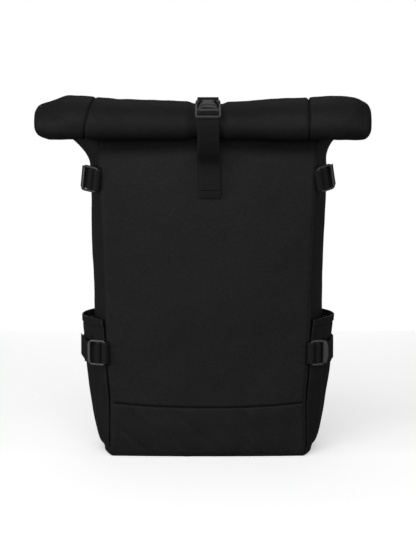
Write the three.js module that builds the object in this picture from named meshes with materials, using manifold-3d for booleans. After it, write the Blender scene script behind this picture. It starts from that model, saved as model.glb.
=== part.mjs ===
// A black rolltop backpack, standing on its base, with its top rolled forward and buckled.
// Millimetres, +Z up, the front facing -Y, the origin at the centre of the flat base.
import * as THREE from 'three';
import { mergeVertices } from 'three/addons/utils/BufferGeometryUtils.js';
import Module from 'manifold-3d';

const wasm = await Module();
wasm.setup();

// Driving dimensions: the sewn body
const clothThickness = 1.6;
const pieceGap = 0.3;
const neckHeight = 430;
const frontWidth = 270;
const sideWidth = 300;
const backWidth = 300;
const bodyDepth = 142;
const neckWidth = 418;
const frontCrown = 6;
const backCrown = 4;
const baseSeamHeight = 68.7;
const baseSeamSag = 5.7;
const neckSetForward = 32.3;
const neckSlit = 0.4;

// Driving dimensions: the roll
const rollWidth = 417;
const rollShift = -6.5;
const rollLength = 30.5;
const rollThickness = 22;
const rollTilt = 28;
const rollForward = 64;
const rollDrop = 8;
const rollTurnGap = 0.6;
const rollTurns = 2.1;
const strapPress = 0.14;

// Driving dimensions: webbing and its plastic fittings
const webbingWidth = 25;
const webbingThickness = 1.3;
const lockLength = 27;
const lockWidth = 32.5;
const lockThickness = 3.2;
const endBar = 3.5;
const lockSlot = 5.5;
const centreBar = 4;
const lipCorner = 8.5;
const lowerLockHeight = 132;
const upperLockDrop = 72;
const strapTail = 38;
const buckleWidth = 32.5;
const socketLength = 27;
const socketThickness = 9;
const clipBaseLength = 20;
const clipThickness = 3.6;
const tongueLength = 15;
const buckleOverhang = 15;
const frontStrapDrop = 94.5;
const strapRootRise = 9;
const strapLie = 18;
const strapSettle = 29;
const foldedHem = 10;

// Driving dimensions: pockets, back and harness
const pocketTop = 173.5;
const pocketBottom = 12;
const pocketBulge = 13;
const pocketHem = 9;
const hemThickening = 0.8;
const padThickness = 9;
const padDrop = 94;
const padBottom = 46;
const padShare = 0.8;
const padEdge = 2;
const shoulderWidth = 62;
const shoulderThickness = 10;
const shoulderDrop = 68;
const shoulderReach = 38;
const shoulderSpread = 56;
const shoulderRootHeight = 30;
const handleSpan = 92;
const handleRise = 24;
const handleDrop = 49;
const handleWebbing = 20;

// Worked out from the dimensions above
const rollHeight = neckHeight - rollDrop;
const upperLockHeight = rollHeight - upperLockDrop;
const frontStrapEnd = rollHeight - frontStrapDrop;
const frontStrapRoot = frontStrapEnd + strapRootRise;
const padTop = neckHeight - padDrop;
const shoulderTop = neckHeight - shoulderDrop;
const handleHeight = neckHeight - handleDrop;
const sheetThickness = 2 * clothThickness + neckSlit;
const neckFront = -neckSetForward - sheetThickness / 2;
const neckBack = -neckSetForward + sheetThickness / 2;
const halfGap = pieceGap / 2;
const webbingSeat = webbingThickness / 2 + pieceGap;

const fabricBlack = { color: 0x1d1d1f, roughness: 0.9, metalness: 0 };
const webbingBlack = { color: 0x19191b, roughness: 0.85, metalness: 0 };
const plasticBlack = { color: 0x2c2c2f, roughness: 0.45, metalness: 0 };
const meshPadBlack = { color: 0x1a1a1c, roughness: 0.95, metalness: 0 };

const pack = new THREE.Group();

function addPiece(name, geometry, finish) {
  const piece = new THREE.Mesh(geometry, new THREE.MeshStandardMaterial(finish));
  piece.name = name;
  pack.add(piece);
  return piece;
}

const mix = (a, b, share) => a + (b - a) * share;
const clamp = (value, low, high) => Math.min(high, Math.max(low, value));
const vec = (x, y, z) => new THREE.Vector3(x, y, z);

// Reads a table of rows by its first column, in straight steps between the rows.
function readTable(table, at) {
  const last = table.length - 1;
  let i = 0;
  while (i < last - 1 && at > table[i + 1][0]) i += 1;
  const share = clamp((at - table[i][0]) / (table[i + 1][0] - table[i][0]), 0, 1);
  return table[i].map((value, column) => mix(value, table[i + 1][column], share));
}

// The sewn body. Each row is a level: its height as a share of neckHeight, the half widths of the
// front, side and back as shares of their own sizes, how far the side has spread towards the flat
// neck, and how far the front and back stand out from the neck towards the full depth.
// Columns: level, front, side, back, spread, frontOut, backOut
const bodySections = [
  [0.000, 0.874, 0.845, 0.800, 0.00, 0.800, 0.911],
  [0.007, 0.896, 0.868, 0.822, 0.00, 0.860, 0.940],
  [0.019, 0.908, 0.885, 0.840, 0.00, 0.905, 0.960],
  [0.070, 0.904, 0.915, 0.880, 0.00, 0.960, 0.985],
  [0.157, 0.897, 0.948, 0.928, 0.00, 1.000, 1.000],
  [0.256, 0.920, 0.968, 0.957, 0.00, 1.020, 1.000],
  [0.395, 0.940, 0.973, 0.973, 0.00, 1.027, 1.000],
  [0.535, 0.955, 0.980, 0.987, 0.00, 1.010, 1.000],
  [0.674, 0.972, 0.986, 1.000, 0.00, 0.985, 1.000],
  [0.790, 0.993, 1.000, 1.005, 0.00, 0.930, 0.993],
  [0.849, 1.004, 1.005, 1.000, 0.00, 0.850, 0.970],
  [0.879, 1.007, 1.000, 0.997, 0.12, 0.790, 0.945],
  [0.907, 1.009, 1.000, 0.993, 0.30, 0.650, 0.870],
  [0.930, 1.012, 1.000, 0.990, 0.48, 0.430, 0.734],
  [0.949, 1.015, 1.000, 0.987, 0.63, 0.220, 0.547],
  [0.967, 1.019, 1.000, 0.981, 0.79, 0.070, 0.330],
  [0.986, 1.022, 1.000, 0.975, 0.93, 0.020, 0.120],
  [1.000, 1.022, 1.000, 0.970, 1.00, 0.000, 0.000],
];

function bodyLevel(z) {
  const [, front, side, back, spread, frontOut, backOut] = readTable(bodySections, z / neckHeight);
  return {
    front: front * frontWidth / 2,
    side: mix(side * sideWidth / 2, neckWidth / 2, spread),
    back: back * backWidth / 2,
    spread,
    frontY: mix(neckFront, -bodyDepth / 2, frontOut),
    backY: mix(neckBack, bodyDepth / 2, backOut),
    frontBulge: frontCrown * clamp(frontOut, 0, 1) * (1 - spread),
    backBulge: backCrown * clamp(backOut, 0, 1) * (1 - spread),
  };
}

// A point of the outer skin. On the front and back, share runs from -1 to 1 with x; on a side it
// runs from 0 at the front corner, over the middle fold, to 1 at the back corner.
function skinPoint(face, share, z) {
  const level = bodyLevel(z);
  if (face === 'front') {
    return vec(share * level.front, level.frontY - level.frontBulge * (1 - share ** 2), z);
  }
  if (face === 'back') {
    return vec(share * level.back, level.backY + level.backBulge * (1 - share ** 2), z);
  }
  const round = 4 * share * (1 - share);
  const tent = 1 - Math.abs(2 * share - 1);
  const out = level.side - (level.front + level.back) / 2;
  const x = mix(level.front, level.back, share) + out * mix(round, tent, level.spread);
  const turn = 2 * share - 1;
  const along = 0.5 + 0.5 * Math.sign(turn) * Math.abs(turn) ** mix(1, 0.04, level.spread ** 3);
  const y = mix(level.frontY, level.backY, along);
  return vec(face === 'right' ? x : -x, y, z);
}

function skinNormal(face, share, z) {
  const sideways = skinPoint(face, share + 0.01, z).sub(skinPoint(face, share - 0.01, z));
  const upwards = skinPoint(face, share, z + 1).sub(skinPoint(face, share, z - 1));
  const normal = sideways.cross(upwards).normalize();
  const outside = face === 'front' ? vec(0, -1, 0) : face === 'back' ? vec(0, 1, 0)
    : vec(face === 'right' ? 1 : -1, 0, 0);
  return normal.dot(outside) < 0 ? normal.negate() : normal;
}

const offSkin = (face, share, z, out) =>
  skinPoint(face, share, z).addScaledVector(skinNormal(face, share, z), out);

// Turns an outer and an inner grid of points, both [row][column], into one closed body. Seen from
// outside, columns run to the right and rows run up.
function thickSheet(outer, inner) {
  const rowCount = outer.length;
  const columnCount = outer[0].length;
  const points = [];
  for (const grid of [outer, inner]) {
    for (const row of grid) {
      for (const point of row) points.push(point.x, point.y, point.z);
    }
  }
  const out = (i, j) => i * columnCount + j;
  const inn = (i, j) => rowCount * columnCount + i * columnCount + j;
  const faces = [];
  const quad = (a, b, c, d) => faces.push(a, b, c, a, c, d);
  for (let i = 0; i < rowCount - 1; i += 1) {
    for (let j = 0; j < columnCount - 1; j += 1) {
      quad(out(i, j), out(i, j + 1), out(i + 1, j + 1), out(i + 1, j));
      quad(inn(i, j), inn(i + 1, j), inn(i + 1, j + 1), inn(i, j + 1));
    }
    quad(out(i, 0), out(i + 1, 0), inn(i + 1, 0), inn(i, 0));
    const end = columnCount - 1;
    quad(out(i, end), inn(i, end), inn(i + 1, end), out(i + 1, end));
  }
  for (let j = 0; j < columnCount - 1; j += 1) {
    quad(out(0, j), inn(0, j), inn(0, j + 1), out(0, j + 1));
    const top = rowCount - 1;
    quad(out(top, j), out(top, j + 1), inn(top, j + 1), inn(top, j));
  }
  const geometry = new THREE.BufferGeometry();
  geometry.setAttribute('position', new THREE.Float32BufferAttribute(points, 3));
  geometry.setIndex(faces);
  return geometry;
}

function toSolid(geometry) {
  const bare = geometry.index ? geometry.clone() : geometry;
  bare.deleteAttribute('normal');
  bare.deleteAttribute('uv');
  const merged = mergeVertices(bare, 1e-4);
  return new wasm.Manifold(new wasm.Mesh({
    numProp: 3,
    vertProperties: new Float32Array(merged.attributes.position.array),
    triVerts: new Uint32Array(merged.index.array),
  }));
}

function toGeometry(solid) {
  const mesh = solid.getMesh();
  const geometry = new THREE.BufferGeometry();
  geometry.setAttribute('position', new THREE.Float32BufferAttribute(mesh.vertProperties, 3));
  geometry.setIndex(Array.from(mesh.triVerts));
  return geometry;
}

// The skin's grid: levels up the body, and columns that run round it from the left front corner.
const frontShares = [-1, -0.78, -0.52, -0.26, 0, 0.26, 0.52, 0.78, 1];
const sideShares = [0, 0.12, 0.28, 0.44, 0.5, 0.56, 0.72, 0.88, 1];
const columns = [
  ...frontShares.map((share) => ['front', share]),
  ...sideShares.slice(1).map((share) => ['right', share]),
  ...frontShares.slice(1).map((share) => ['back', -share]),
  ...sideShares.slice(1, -1).reverse().map((share) => ['left', share]),
];
const frontColumns = frontShares.length - 1;
const sideColumns = sideShares.length - 1;
const leftFront = 0;
const rightFront = leftFront + frontColumns;
const rightBack = rightFront + sideColumns;
const leftBack = rightBack + frontColumns;

const levels = bodySections.map(([share]) => share * neckHeight);
levels[0] = clothThickness + pieceGap;
const seamRow = bodySections.findIndex(([, , , , , frontOut]) => frontOut === 1);
levels[seamRow] = baseSeamHeight;

const skinGrid = levels.map((z, row) => columns.map(([face, share]) => {
  const sag = row === seamRow && face === 'front' ? baseSeamSag * (1 - share ** 2) : 0;
  return skinPoint(face, share, z - sag);
}));

function gridNormal(row, column) {
  const total = columns.length;
  const sideways = skinGrid[row][(column + 1) % total].clone()
    .sub(skinGrid[row][(column + total - 1) % total]);
  const above = skinGrid[Math.min(row + 1, levels.length - 1)][column];
  const below = skinGrid[Math.max(row - 1, 0)][column];
  return sideways.cross(above.clone().sub(below)).normalize();
}

// The lining lies one cloth inside the skin. Its first and last rows stay level with the skin's.
const liningGrid = skinGrid.map((points, row) => points.map((point, column) => {
  const inside = point.clone().addScaledVector(gridNormal(row, column), -clothThickness);
  if (row === 0 || row === levels.length - 1) inside.z = point.z;
  return inside;
}));

const towards = (from, to, distance) =>
  from.clone().addScaledVector(to.clone().sub(from).normalize(), distance);

// Cuts one panel out of the skin, and trims each sewn edge back by half a gap.
function panelGrid(grid, firstColumn, lastColumn, firstRow, lastRow) {
  const cut = [];
  for (let i = firstRow; i <= lastRow; i += 1) {
    const row = [];
    for (let j = firstColumn; j <= lastColumn; j += 1) row.push(grid[i][j % columns.length]);
    const end = row.length - 1;
    cut.push([
      towards(row[0], row[1], halfGap),
      ...row.slice(1, end),
      towards(row[end], row[end - 1], halfGap),
    ]);
  }
  return cut;
}

function trimRow(grid, row, neighbour) {
  grid[row] = grid[row].map((point, j) => towards(point, grid[neighbour][j], halfGap));
  return grid;
}

function cutPanel(firstColumn, lastColumn, firstRow, lastRow, trim) {
  const grids = [skinGrid, liningGrid].map((grid) => {
    const cut = panelGrid(grid, firstColumn, lastColumn, firstRow, lastRow);
    if (trim === 'bottom') trimRow(cut, 0, 1);
    if (trim === 'top') trimRow(cut, cut.length - 1, cut.length - 2);
    return cut;
  });
  return grids;
}

const topRow = levels.length - 1;

function addBodyPanels() {
  const front = cutPanel(leftFront, rightFront, seamRow, topRow, 'bottom');
  addPiece('front_panel', thickSheet(...front), fabricBlack);
  const right = cutPanel(rightFront, rightBack, 0, topRow, 'none');
  addPiece('side_panel_right', thickSheet(...right), fabricBlack);
  const back = cutPanel(rightBack, leftBack, 0, topRow, 'none');
  addPiece('back_panel', thickSheet(...back), fabricBlack);
  const left = cutPanel(leftBack, columns.length, 0, topRow, 'none');
  addPiece('side_panel_left', thickSheet(...left), fabricBlack);
}

// The base panel: the flat bottom, with the front riser turned up from it.
function addBasePanel() {
  const outline = new THREE.Shape(columns.map(([face, share]) => {
    const point = skinPoint(face, share, levels[0]);
    return new THREE.Vector2(point.x, point.y);
  }));
  const bottom = new THREE.ExtrudeGeometry(outline, { depth: clothThickness, bevelEnabled: false });
  const [outer, inner] = cutPanel(leftFront, rightFront, 0, seamRow, 'top');
  const sink = vec(0, 0, -(clothThickness / 2 + pieceGap));
  for (const grid of [outer, inner]) grid[0] = grid[0].map((point) => point.clone().add(sink));
  const joined = toSolid(bottom).add(toSolid(thickSheet(outer, inner)));
  addPiece('base_panel', toGeometry(joined), fabricBlack);
}

// The rolled top: the flat neck, two cloths thick, wound forward into a tilted oval.
// Columns: place along the roll as a share of its half width, and the size of the section there
const rollStations = [
  [-1.000, 0.50], [-0.985, 0.72], [-0.950, 0.90], [-0.890, 1.04], [-0.800, 1.15],
  [-0.640, 1.12], [-0.440, 1.05], [-0.200, 1.00], [0.000, 0.98], [0.200, 0.99],
  [0.440, 1.04], [0.640, 1.10], [0.800, 1.15], [0.900, 1.11], [0.960, 1.00],
  [0.988, 0.82], [1.000, 0.62],
];

// The buckled strap presses the roll in over the buckle's width.
const pressedSize = 1 - strapPress;
const pressMiddle = -2 * rollShift / rollWidth;
const pressHalf = buckleWidth / rollWidth;
const pressRim = 1.6 * pressHalf;
const unpressed = ([at]) => Math.abs(at - pressMiddle) > pressRim;
const pressedStations = [
  ...rollStations.filter(unpressed),
  [pressMiddle - pressRim, 0.98], [pressMiddle - pressHalf, pressedSize],
  [pressMiddle + pressHalf, pressedSize], [pressMiddle + pressRim, 0.98],
].sort(([a], [b]) => a - b);
const rollStartAngle = -20;
const rollStepAngle = 24;
const rollPinAngle = 70;
const rollLift = 20;

function rollPoint(station, size, angle, out) {
  const wound = angle - rollStartAngle;
  const inward = (sheetThickness + rollTurnGap) * wound / 360;
  const turn = THREE.MathUtils.degToRad(angle);
  const tilt = THREE.MathUtils.degToRad(rollTilt);
  const free = THREE.MathUtils.smoothstep(wound, 0, rollPinAngle);
  const scale = mix(1, size, free);
  const along = (rollLength - inward + out) * Math.cos(turn) * scale;
  const across = (rollThickness - inward + out) * Math.sin(turn) * scale;
  const lift = Math.max(0, scale - 1) * rollLift;
  const forward = Math.max(0, scale - 1) * rollLength * Math.cos(tilt);
  return vec(
    station * rollWidth / 2 + rollShift * free,
    -rollForward - forward + along * Math.cos(tilt) - across * Math.sin(tilt),
    rollHeight + along * Math.sin(tilt) + across * Math.cos(tilt) + lift,
  );
}

function addRolledTop() {
  const angles = [];
  for (let a = rollStartAngle; a <= rollStartAngle + rollTurns * 360; a += rollStepAngle) {
    angles.push(a);
  }
  const stations = [...pressedStations].reverse();
  const layer = (out) => angles.map((angle) =>
    stations.map(([station, size]) => rollPoint(station, size, angle, out)));
  const half = sheetThickness / 2;
  const outer = layer(half);
  const inner = layer(-half);
  // The first edge is laid on the neck of the body, a gap above it.
  for (const [grid, y] of [[outer, neckBack], [inner, neckFront]]) {
    grid[0] = grid[0].map((point) => vec(point.x, y, neckHeight + pieceGap));
  }
  addPiece('rolled_top', thickSheet(outer, inner), fabricBlack);
}

// Webbing: a flat ribbon through a row of points. widthWay is the way that its width lies, one
// for the whole ribbon or one for each point.
function ribbon(points, widthWay, width, thickness) {
  const last = points.length - 1;
  const rings = points.map((point, i) => {
    const before = points[i].clone().sub(points[Math.max(i - 1, 0)]).normalize();
    const after = points[Math.min(i + 1, last)].clone().sub(points[i]).normalize();
    const tangent = before.clone().add(after).normalize();
    const bend = i > 0 && i < last ? Math.max(0.6, tangent.dot(after)) : 1;
    const way = (Array.isArray(widthWay) ? widthWay[i] : widthWay).clone().normalize();
    const normal = tangent.clone().cross(way).normalize();
    const thick = normal.multiplyScalar((Array.isArray(thickness) ? thickness[i] : thickness)
      / 2 / bend);
    const wide = way.multiplyScalar((Array.isArray(width) ? width[i] : width) / 2);
    return [thick, wide, point];
  });
  const face = (side) => rings.map(([thick, wide, point]) => [
    point.clone().addScaledVector(thick, side).sub(wide),
    point.clone().addScaledVector(thick, side).add(wide),
  ]);
  return thickSheet(face(-1), face(1));
}

// A ladder lock lies in a frame of its own: x from its end bar to its lip, y across it along the
// webbing's width, z out of its face.
const slotOneEnd = endBar + lockSlot;
const slotTwoStart = slotOneEnd + centreBar;
const slotTwoEnd = slotTwoStart + lockSlot;
const slotHalfWidth = webbingWidth / 2 + 0.7;

function slab(x0, x1, y0, y1, z0, z1) {
  const geometry = new THREE.BoxGeometry(x1 - x0, y1 - y0, z1 - z0);
  return geometry.translate((x0 + x1) / 2, (y0 + y1) / 2, (z0 + z1) / 2);
}

function extrudeFlat(outline, thickness) {
  const geometry = new THREE.ExtrudeGeometry(outline, {
    depth: thickness, bevelEnabled: false, curveSegments: 4,
  });
  return geometry.translate(0, 0, -thickness / 2);
}

const throughSlot = (x0, x1) =>
  toSolid(slab(x0, x1, -slotHalfWidth, slotHalfWidth, -buckleWidth, buckleWidth));

function lockGeometry() {
  const half = lockWidth / 2;
  const outline = new THREE.Shape();
  outline.moveTo(0, -half + 1);
  outline.lineTo(1, -half);
  outline.lineTo(lockLength - lipCorner, -half);
  outline.quadraticCurveTo(lockLength, -half, lockLength, -half + lipCorner);
  outline.lineTo(lockLength, half - lipCorner);
  outline.quadraticCurveTo(lockLength, half, lockLength - lipCorner, half);
  outline.lineTo(1, half);
  outline.lineTo(0, half - 1);
  outline.closePath();
  return toGeometry(toSolid(extrudeFlat(outline, lockThickness))
    .subtract(throughSlot(endBar, slotOneEnd))
    .subtract(throughSlot(slotTwoStart, slotTwoEnd)));
}

// How webbing goes over a bar, as [x, z]: in under the bar from its near side, up past its far
// side, over it, down past its near side and out again between the bar and the way in. way is 1
// where the near side faces +x, and -1 where it faces -x.
const cornerRoom = 0.35;
const entryDip = 0.9;
const exitRun = 3.2;

function threadBar(near, far, half, way) {
  const low = -(half + webbingSeat);
  const twice = low - webbingThickness - pieceGap;
  const side = webbingSeat;
  const corner = half + cornerRoom;
  return [
    [near, twice], [far + way * 0.6, twice], [far - way * side, -(half + entryDip)],
    [far - way * side, corner], [far - way * 0.45, -low], [near + way * 0.45, -low],
    [near + way * side, corner], [near + way * side, 0.6 - half],
    [near + way * (side + 1.2), -(half + 0.3)], [near + way * exitRun, low],
  ];
}

const lockHalf = lockThickness / 2;
const under = -(lockHalf + webbingSeat);
const twiceUnder = under - webbingThickness - pieceGap;
const over = -under;
const threadedIn = [
  [lockLength + 3, twiceUnder],
  ...threadBar(slotTwoStart, slotOneEnd, lockHalf, 1),
  [lockLength + 1, under],
];
const endLoop = [
  [endBar + 0.45, over], [endBar + webbingSeat, lockHalf + cornerRoom],
  [endBar + webbingSeat, -lockHalf - cornerRoom], [endBar + 0.45, under], [0, under],
];

const placed = (frame, [x, z]) => vec(x, 0, z).applyMatrix4(frame);

// The four side straps. Each hangs its lock from a loop in the front seam; its strap starts in
// the back seam, crosses the side and doubles back through the lock.
// Columns: name, side, height, outward angle, lean of the lock, length of tail
const sideStraps = [
  ['lower_left', 'left', lowerLockHeight, 30, 0, 1],
  ['lower_right', 'right', lowerLockHeight, 30, 0, 0.9],
  ['upper_left', 'left', upperLockHeight, 42, 6, 0.55],
  ['upper_right', 'right', upperLockHeight, 32, -10, 0.55],
];
const lockStandOff = 3.5;
const seamReach = 1.2;
const strapEase = 0.5;

function sideFrame(side, height, angle, lean) {
  const sign = side === 'right' ? 1 : -1;
  const turn = THREE.MathUtils.degToRad(angle);
  const along = vec(sign * Math.cos(turn), Math.sin(turn), 0);
  const out = vec(sign * Math.sin(turn), -Math.cos(turn), 0);
  const leanTurn = THREE.MathUtils.degToRad(lean * sign);
  along.applyAxisAngle(out, -sign * leanTurn);
  const across = out.clone().cross(along);
  const corner = skinPoint(side, 0, height);
  const place = corner.clone().addScaledVector(along, seamReach)
    .addScaledVector(out, lockStandOff);
  return new THREE.Matrix4().makeBasis(along, across, out).setPosition(place);
}

function pocketOut(share, z) {
  const rise = clamp((z - pocketBottom) / (pocketTop - pocketBottom), 0, 1);
  const round = Math.max(0, Math.sin(Math.PI * share)) ** 0.8;
  return pocketBulge * round * rise ** 0.5;
}

function addSideStrap([name, side, height, angle, lean, tailShare]) {
  const frame = sideFrame(side, height, angle, lean);
  const lock = addPiece(`side_lock_${name}`, lockGeometry(), plasticBlack);
  lock.applyMatrix4(frame);
  const across = vec(0, 1, 0).transformDirection(frame);

  const loopPoints = [
    [-seamReach - 1.4, -0.9], [-seamReach, over], ...endLoop,
    [-seamReach, webbingSeat + pieceGap - lockStandOff],
  ].map((at) => placed(frame, at));
  addPiece(`side_loop_${name}`,
    ribbon(loopPoints, across, webbingWidth, webbingThickness), webbingBlack);

  const overPocket = height < pocketTop;
  const strapSeat = (share, z) => {
    const pocket = overPocket ? pieceGap + pocketOut(share, z) + clothThickness : 0;
    return pocket + webbingSeat + strapEase;
  };
  const shares = [0.97, 0.86, 0.74, 0.62, 0.5, 0.38];
  const route = shares.map((share) => offSkin(side, share, height, strapSeat(share, height)));
  const slopes = shares.map((share) => {
    const [low, high] = [height - webbingWidth / 2, height + webbingWidth / 2]
      .map((z) => offSkin(side, share, z, strapSeat(share, z)));
    return high.sub(low).multiplyScalar(Math.sign(across.z));
  });
  const threaded = threadedIn.map((at) => placed(frame, at));
  const tailEnd = strapTail * tailShare;
  const tail = [0.25, 0.6, 1].map((share) => placed(frame, [
    lockLength + 1 + tailEnd * share * (1 - 0.25 * share), under - tailEnd * 0.7 * share ** 2,
  ]));
  const points = [...route, ...threaded, ...tail];
  const ways = points.map((_, i) => (i < route.length ? slopes[i] : across));
  addPiece(`side_strap_${name}`,
    ribbon(points, ways, webbingWidth, webbingThickness), webbingBlack);
}

// A side pocket: one bulged wall over the side panel, with a turned hem at its open mouth.
function addPocket(side) {
  const shares = [0.03, 0.12, 0.24, 0.37, 0.5, 0.63, 0.76, 0.88, 0.97];
  const hemStart = pocketTop - pocketHem;
  const heights = [0, 0.1, 0.24, 0.42, 0.62, 0.82, 1]
    .map((share) => mix(pocketBottom, hemStart, share));
  const rows = [...heights.map((z) => [z, 0]), [hemStart + 0.6, 1], [pocketTop, 1]];
  const ordered = side === 'right' ? shares : [...shares].reverse();
  const layer = (out) => rows.map(([z, hem]) => ordered.map((share) =>
    offSkin(side, share, z, pieceGap + pocketOut(share, z) + out * (clothThickness
      + hem * hemThickening))));
  addPiece(`side_pocket_${side}`, thickSheet(layer(1), layer(0)), fabricBlack);
}

// The front buckle lies on the roll, in a frame of its own: x from the clip's end bar back to the
// socket's strap bar, z out of its face.
const tiltTurn = THREE.MathUtils.degToRad(rollTilt);
const buckleLength = clipBaseLength + socketLength;
const buckleAlong = vec(0, Math.cos(tiltTurn), Math.sin(tiltTurn));
const buckleOut = vec(0, -Math.sin(tiltTurn), Math.cos(tiltTurn));
const rollFace = (rollThickness + sheetThickness / 2) * pressedSize;
const buckleFrame = new THREE.Matrix4()
  .makeBasis(buckleAlong, vec(-1, 0, 0), buckleOut)
  .setPosition(vec(0, -rollForward, rollHeight)
    .addScaledVector(buckleOut, rollFace + socketThickness / 2 + webbingThickness)
    .addScaledVector(buckleAlong, -buckleLength / 2 - buckleOverhang));

const clipBar = 3.5;
const clipSlotOne = 4.5;
const clipLadder = 3;
const clipSlotTwo = 4.5;
const clipShoulder = 3;
const socketBar = 3;
const socketStrapSlot = 3.6;
const socketBarThickness = 4.4;
const notchLength = 6;
const notchDepth = 3.2;
const notchSlope = 2;

function addBuckle() {
  const half = buckleWidth / 2;
  const clip = new THREE.Shape();
  const base = clipBaseLength;
  const tip = base + tongueLength;
  const armOut = half - 2.2;
  clip.moveTo(1.5, -half + 0.5);
  clip.lineTo(base - clipShoulder, -half);
  clip.lineTo(base, -half + 1.6);
  clip.lineTo(tip - 4, -armOut);
  clip.lineTo(tip, -armOut + 4.5);
  clip.lineTo(tip - 1.5, -armOut + 6.5);
  clip.lineTo(tip - 5, -armOut + 3.4);
  clip.lineTo(base + 2, -armOut + 3.4);
  clip.lineTo(base + 2, -3);
  clip.lineTo(tip - 2, -2);
  clip.lineTo(tip - 2, 2);
  clip.lineTo(base + 2, 3);
  clip.lineTo(base + 2, armOut - 3.4);
  clip.lineTo(tip - 5, armOut - 3.4);
  clip.lineTo(tip - 1.5, armOut - 6.5);
  clip.lineTo(tip, armOut - 4.5);
  clip.lineTo(tip - 4, armOut);
  clip.lineTo(base, half - 1.6);
  clip.lineTo(base - clipShoulder, half);
  clip.lineTo(1.5, half - 0.5);
  clip.lineTo(0, half - 2.5);
  clip.lineTo(0, -half + 2.5);
  clip.closePath();
  const ladderStart = clipBar + clipSlotOne;
  const ladderEnd = ladderStart + clipLadder;
  const clipSolid = toSolid(extrudeFlat(clip, clipThickness))
    .subtract(throughSlot(clipBar, ladderStart))
    .subtract(throughSlot(ladderEnd, ladderEnd + clipSlotTwo));
  const clipPiece = addPiece('buckle_clip', toGeometry(clipSolid), plasticBlack);
  clipPiece.applyMatrix4(buckleFrame);

  const mouth = base + pieceGap;
  const rear = buckleLength;
  const notchStart = mouth + 0.42 * socketLength;
  const notchEnd = notchStart + notchLength;
  const socket = new THREE.Shape();
  socket.moveTo(mouth, -half + 0.6);
  socket.lineTo(notchStart - notchSlope, -half);
  socket.lineTo(notchStart, -half + notchDepth);
  socket.lineTo(notchEnd, -half + notchDepth);
  socket.lineTo(notchEnd + notchSlope, -half + 0.8);
  socket.lineTo(rear - 2.5, -half + 2);
  socket.lineTo(rear, -half + 4.5);
  socket.lineTo(rear, half - 4.5);
  socket.lineTo(rear - 2.5, half - 2);
  socket.lineTo(notchEnd + notchSlope, half - 0.8);
  socket.lineTo(notchEnd, half - notchDepth);
  socket.lineTo(notchStart, half - notchDepth);
  socket.lineTo(notchStart - notchSlope, half);
  socket.lineTo(mouth, half - 0.6);
  socket.closePath();
  const roomHigh = clipThickness / 2 + 0.6;
  const room = slab(mouth - 1, mouth + tongueLength + 1, -half + 1.4, half - 1.4,
    -roomHigh, roomHigh);
  const barFront = rear - socketBar;
  const step = (z0, z1) => toSolid(slab(barFront - socketStrapSlot - 1, rear + 1, -half, half, z0, z1));
  const shell = toSolid(extrudeFlat(socket, socketThickness))
    .subtract(toSolid(room))
    .subtract(throughSlot(barFront - socketStrapSlot, barFront))
    .subtract(step(socketBarThickness / 2, socketThickness))
    .subtract(step(-socketThickness, -socketBarThickness / 2));
  const socketPiece = addPiece('buckle_socket', toGeometry(shell), plasticBlack);
  socketPiece.applyMatrix4(buckleFrame);
}

// The front strap: sewn to the front panel, up behind the clip, over its ladder bar, and down
// again in front as a free tail with a folded end.
function addFrontStrap() {
  const half = clipThickness / 2;
  const low = -(half + webbingSeat);
  const lower = low - webbingThickness - pieceGap;
  const ladderStart = clipBar + clipSlotOne;
  const atClip = [
    [-2.5, lower - 1], [clipBar, lower],
    ...threadBar(ladderStart, ladderStart + clipLadder, half, -1),
    [-0.5, low],
  ].map((at) => placed(buckleFrame, at));
  const onPanel = (z, out) => offSkin('front', 0, z, webbingSeat + out);
  const layers = webbingThickness + pieceGap;
  const clipDrop = atClip[0];
  const slack = [0.3, 0.65].map((share) => {
    const foot = onPanel(frontStrapRoot + strapSettle, 0.3);
    return vec(0, mix(clipDrop.y - 1, foot.y, share ** 1.2), mix(clipDrop.z - 3, foot.z, share));
  });
  const rising = [onPanel(frontStrapRoot, 0), onPanel(frontStrapRoot + strapLie, 0),
    onPanel(frontStrapRoot + strapSettle, 0.3), ...[...slack].reverse()];
  const falling = [
    ...slack.map((point) => vec(0, point.y - layers - 0.3, point.z)),
    onPanel(frontStrapRoot + strapSettle, layers + 0.8),
    onPanel(frontStrapRoot + strapLie, layers + 0.3),
    onPanel(frontStrapRoot, layers + 0.2), onPanel(frontStrapEnd + foldedHem, layers),
    onPanel(frontStrapEnd + foldedHem - 0.8, layers), onPanel(frontStrapEnd, layers * 0.8),
  ];
  const points = [...rising, ...atClip, ...falling];
  const thickness = points.map((_, i) => (i >= points.length - 2
    ? 2 * webbingThickness : webbingThickness));
  addPiece('front_strap', ribbon(points, vec(1, 0, 0), webbingWidth, thickness), webbingBlack);
}

// The roll strap: sewn to the back of the neck, over the roll and round the socket's bar.
function addRollStrap() {
  const half = socketBarThickness / 2;
  const low = -(half + webbingSeat);
  const rear = buckleLength;
  const barFront = rear - socketBar;
  const loop = [
    [rear + 0.8, low - 1.6], [barFront + 0.6, low], [barFront - webbingSeat, -(half + 0.5)],
    [barFront - webbingSeat, half + cornerRoom], [barFront - 0.45, -low], [rear + 0.45, -low],
    [rear + webbingSeat, half + cornerRoom], [rear + 2.6, -1], [rear + 5, -4.5],
  ].map((at) => placed(buckleFrame, at));
  const rollSeat = (angle, out) => {
    const point = rollPoint(0, pressedSize, angle, sheetThickness / 2 + webbingSeat + out);
    return vec(0, point.y, point.z);
  };
  const onBack = levels.slice(12, 17).map((z) => offSkin('back', 0, z, webbingSeat + strapEase));
  const points = [
    ...onBack, rollSeat(-10, 1), rollSeat(6, 0.8), rollSeat(22, 0.8), rollSeat(36, 0.8), ...loop,
  ];
  addPiece('roll_strap', ribbon(points, vec(1, 0, 0), webbingWidth, webbingThickness), webbingBlack);
}

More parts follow.
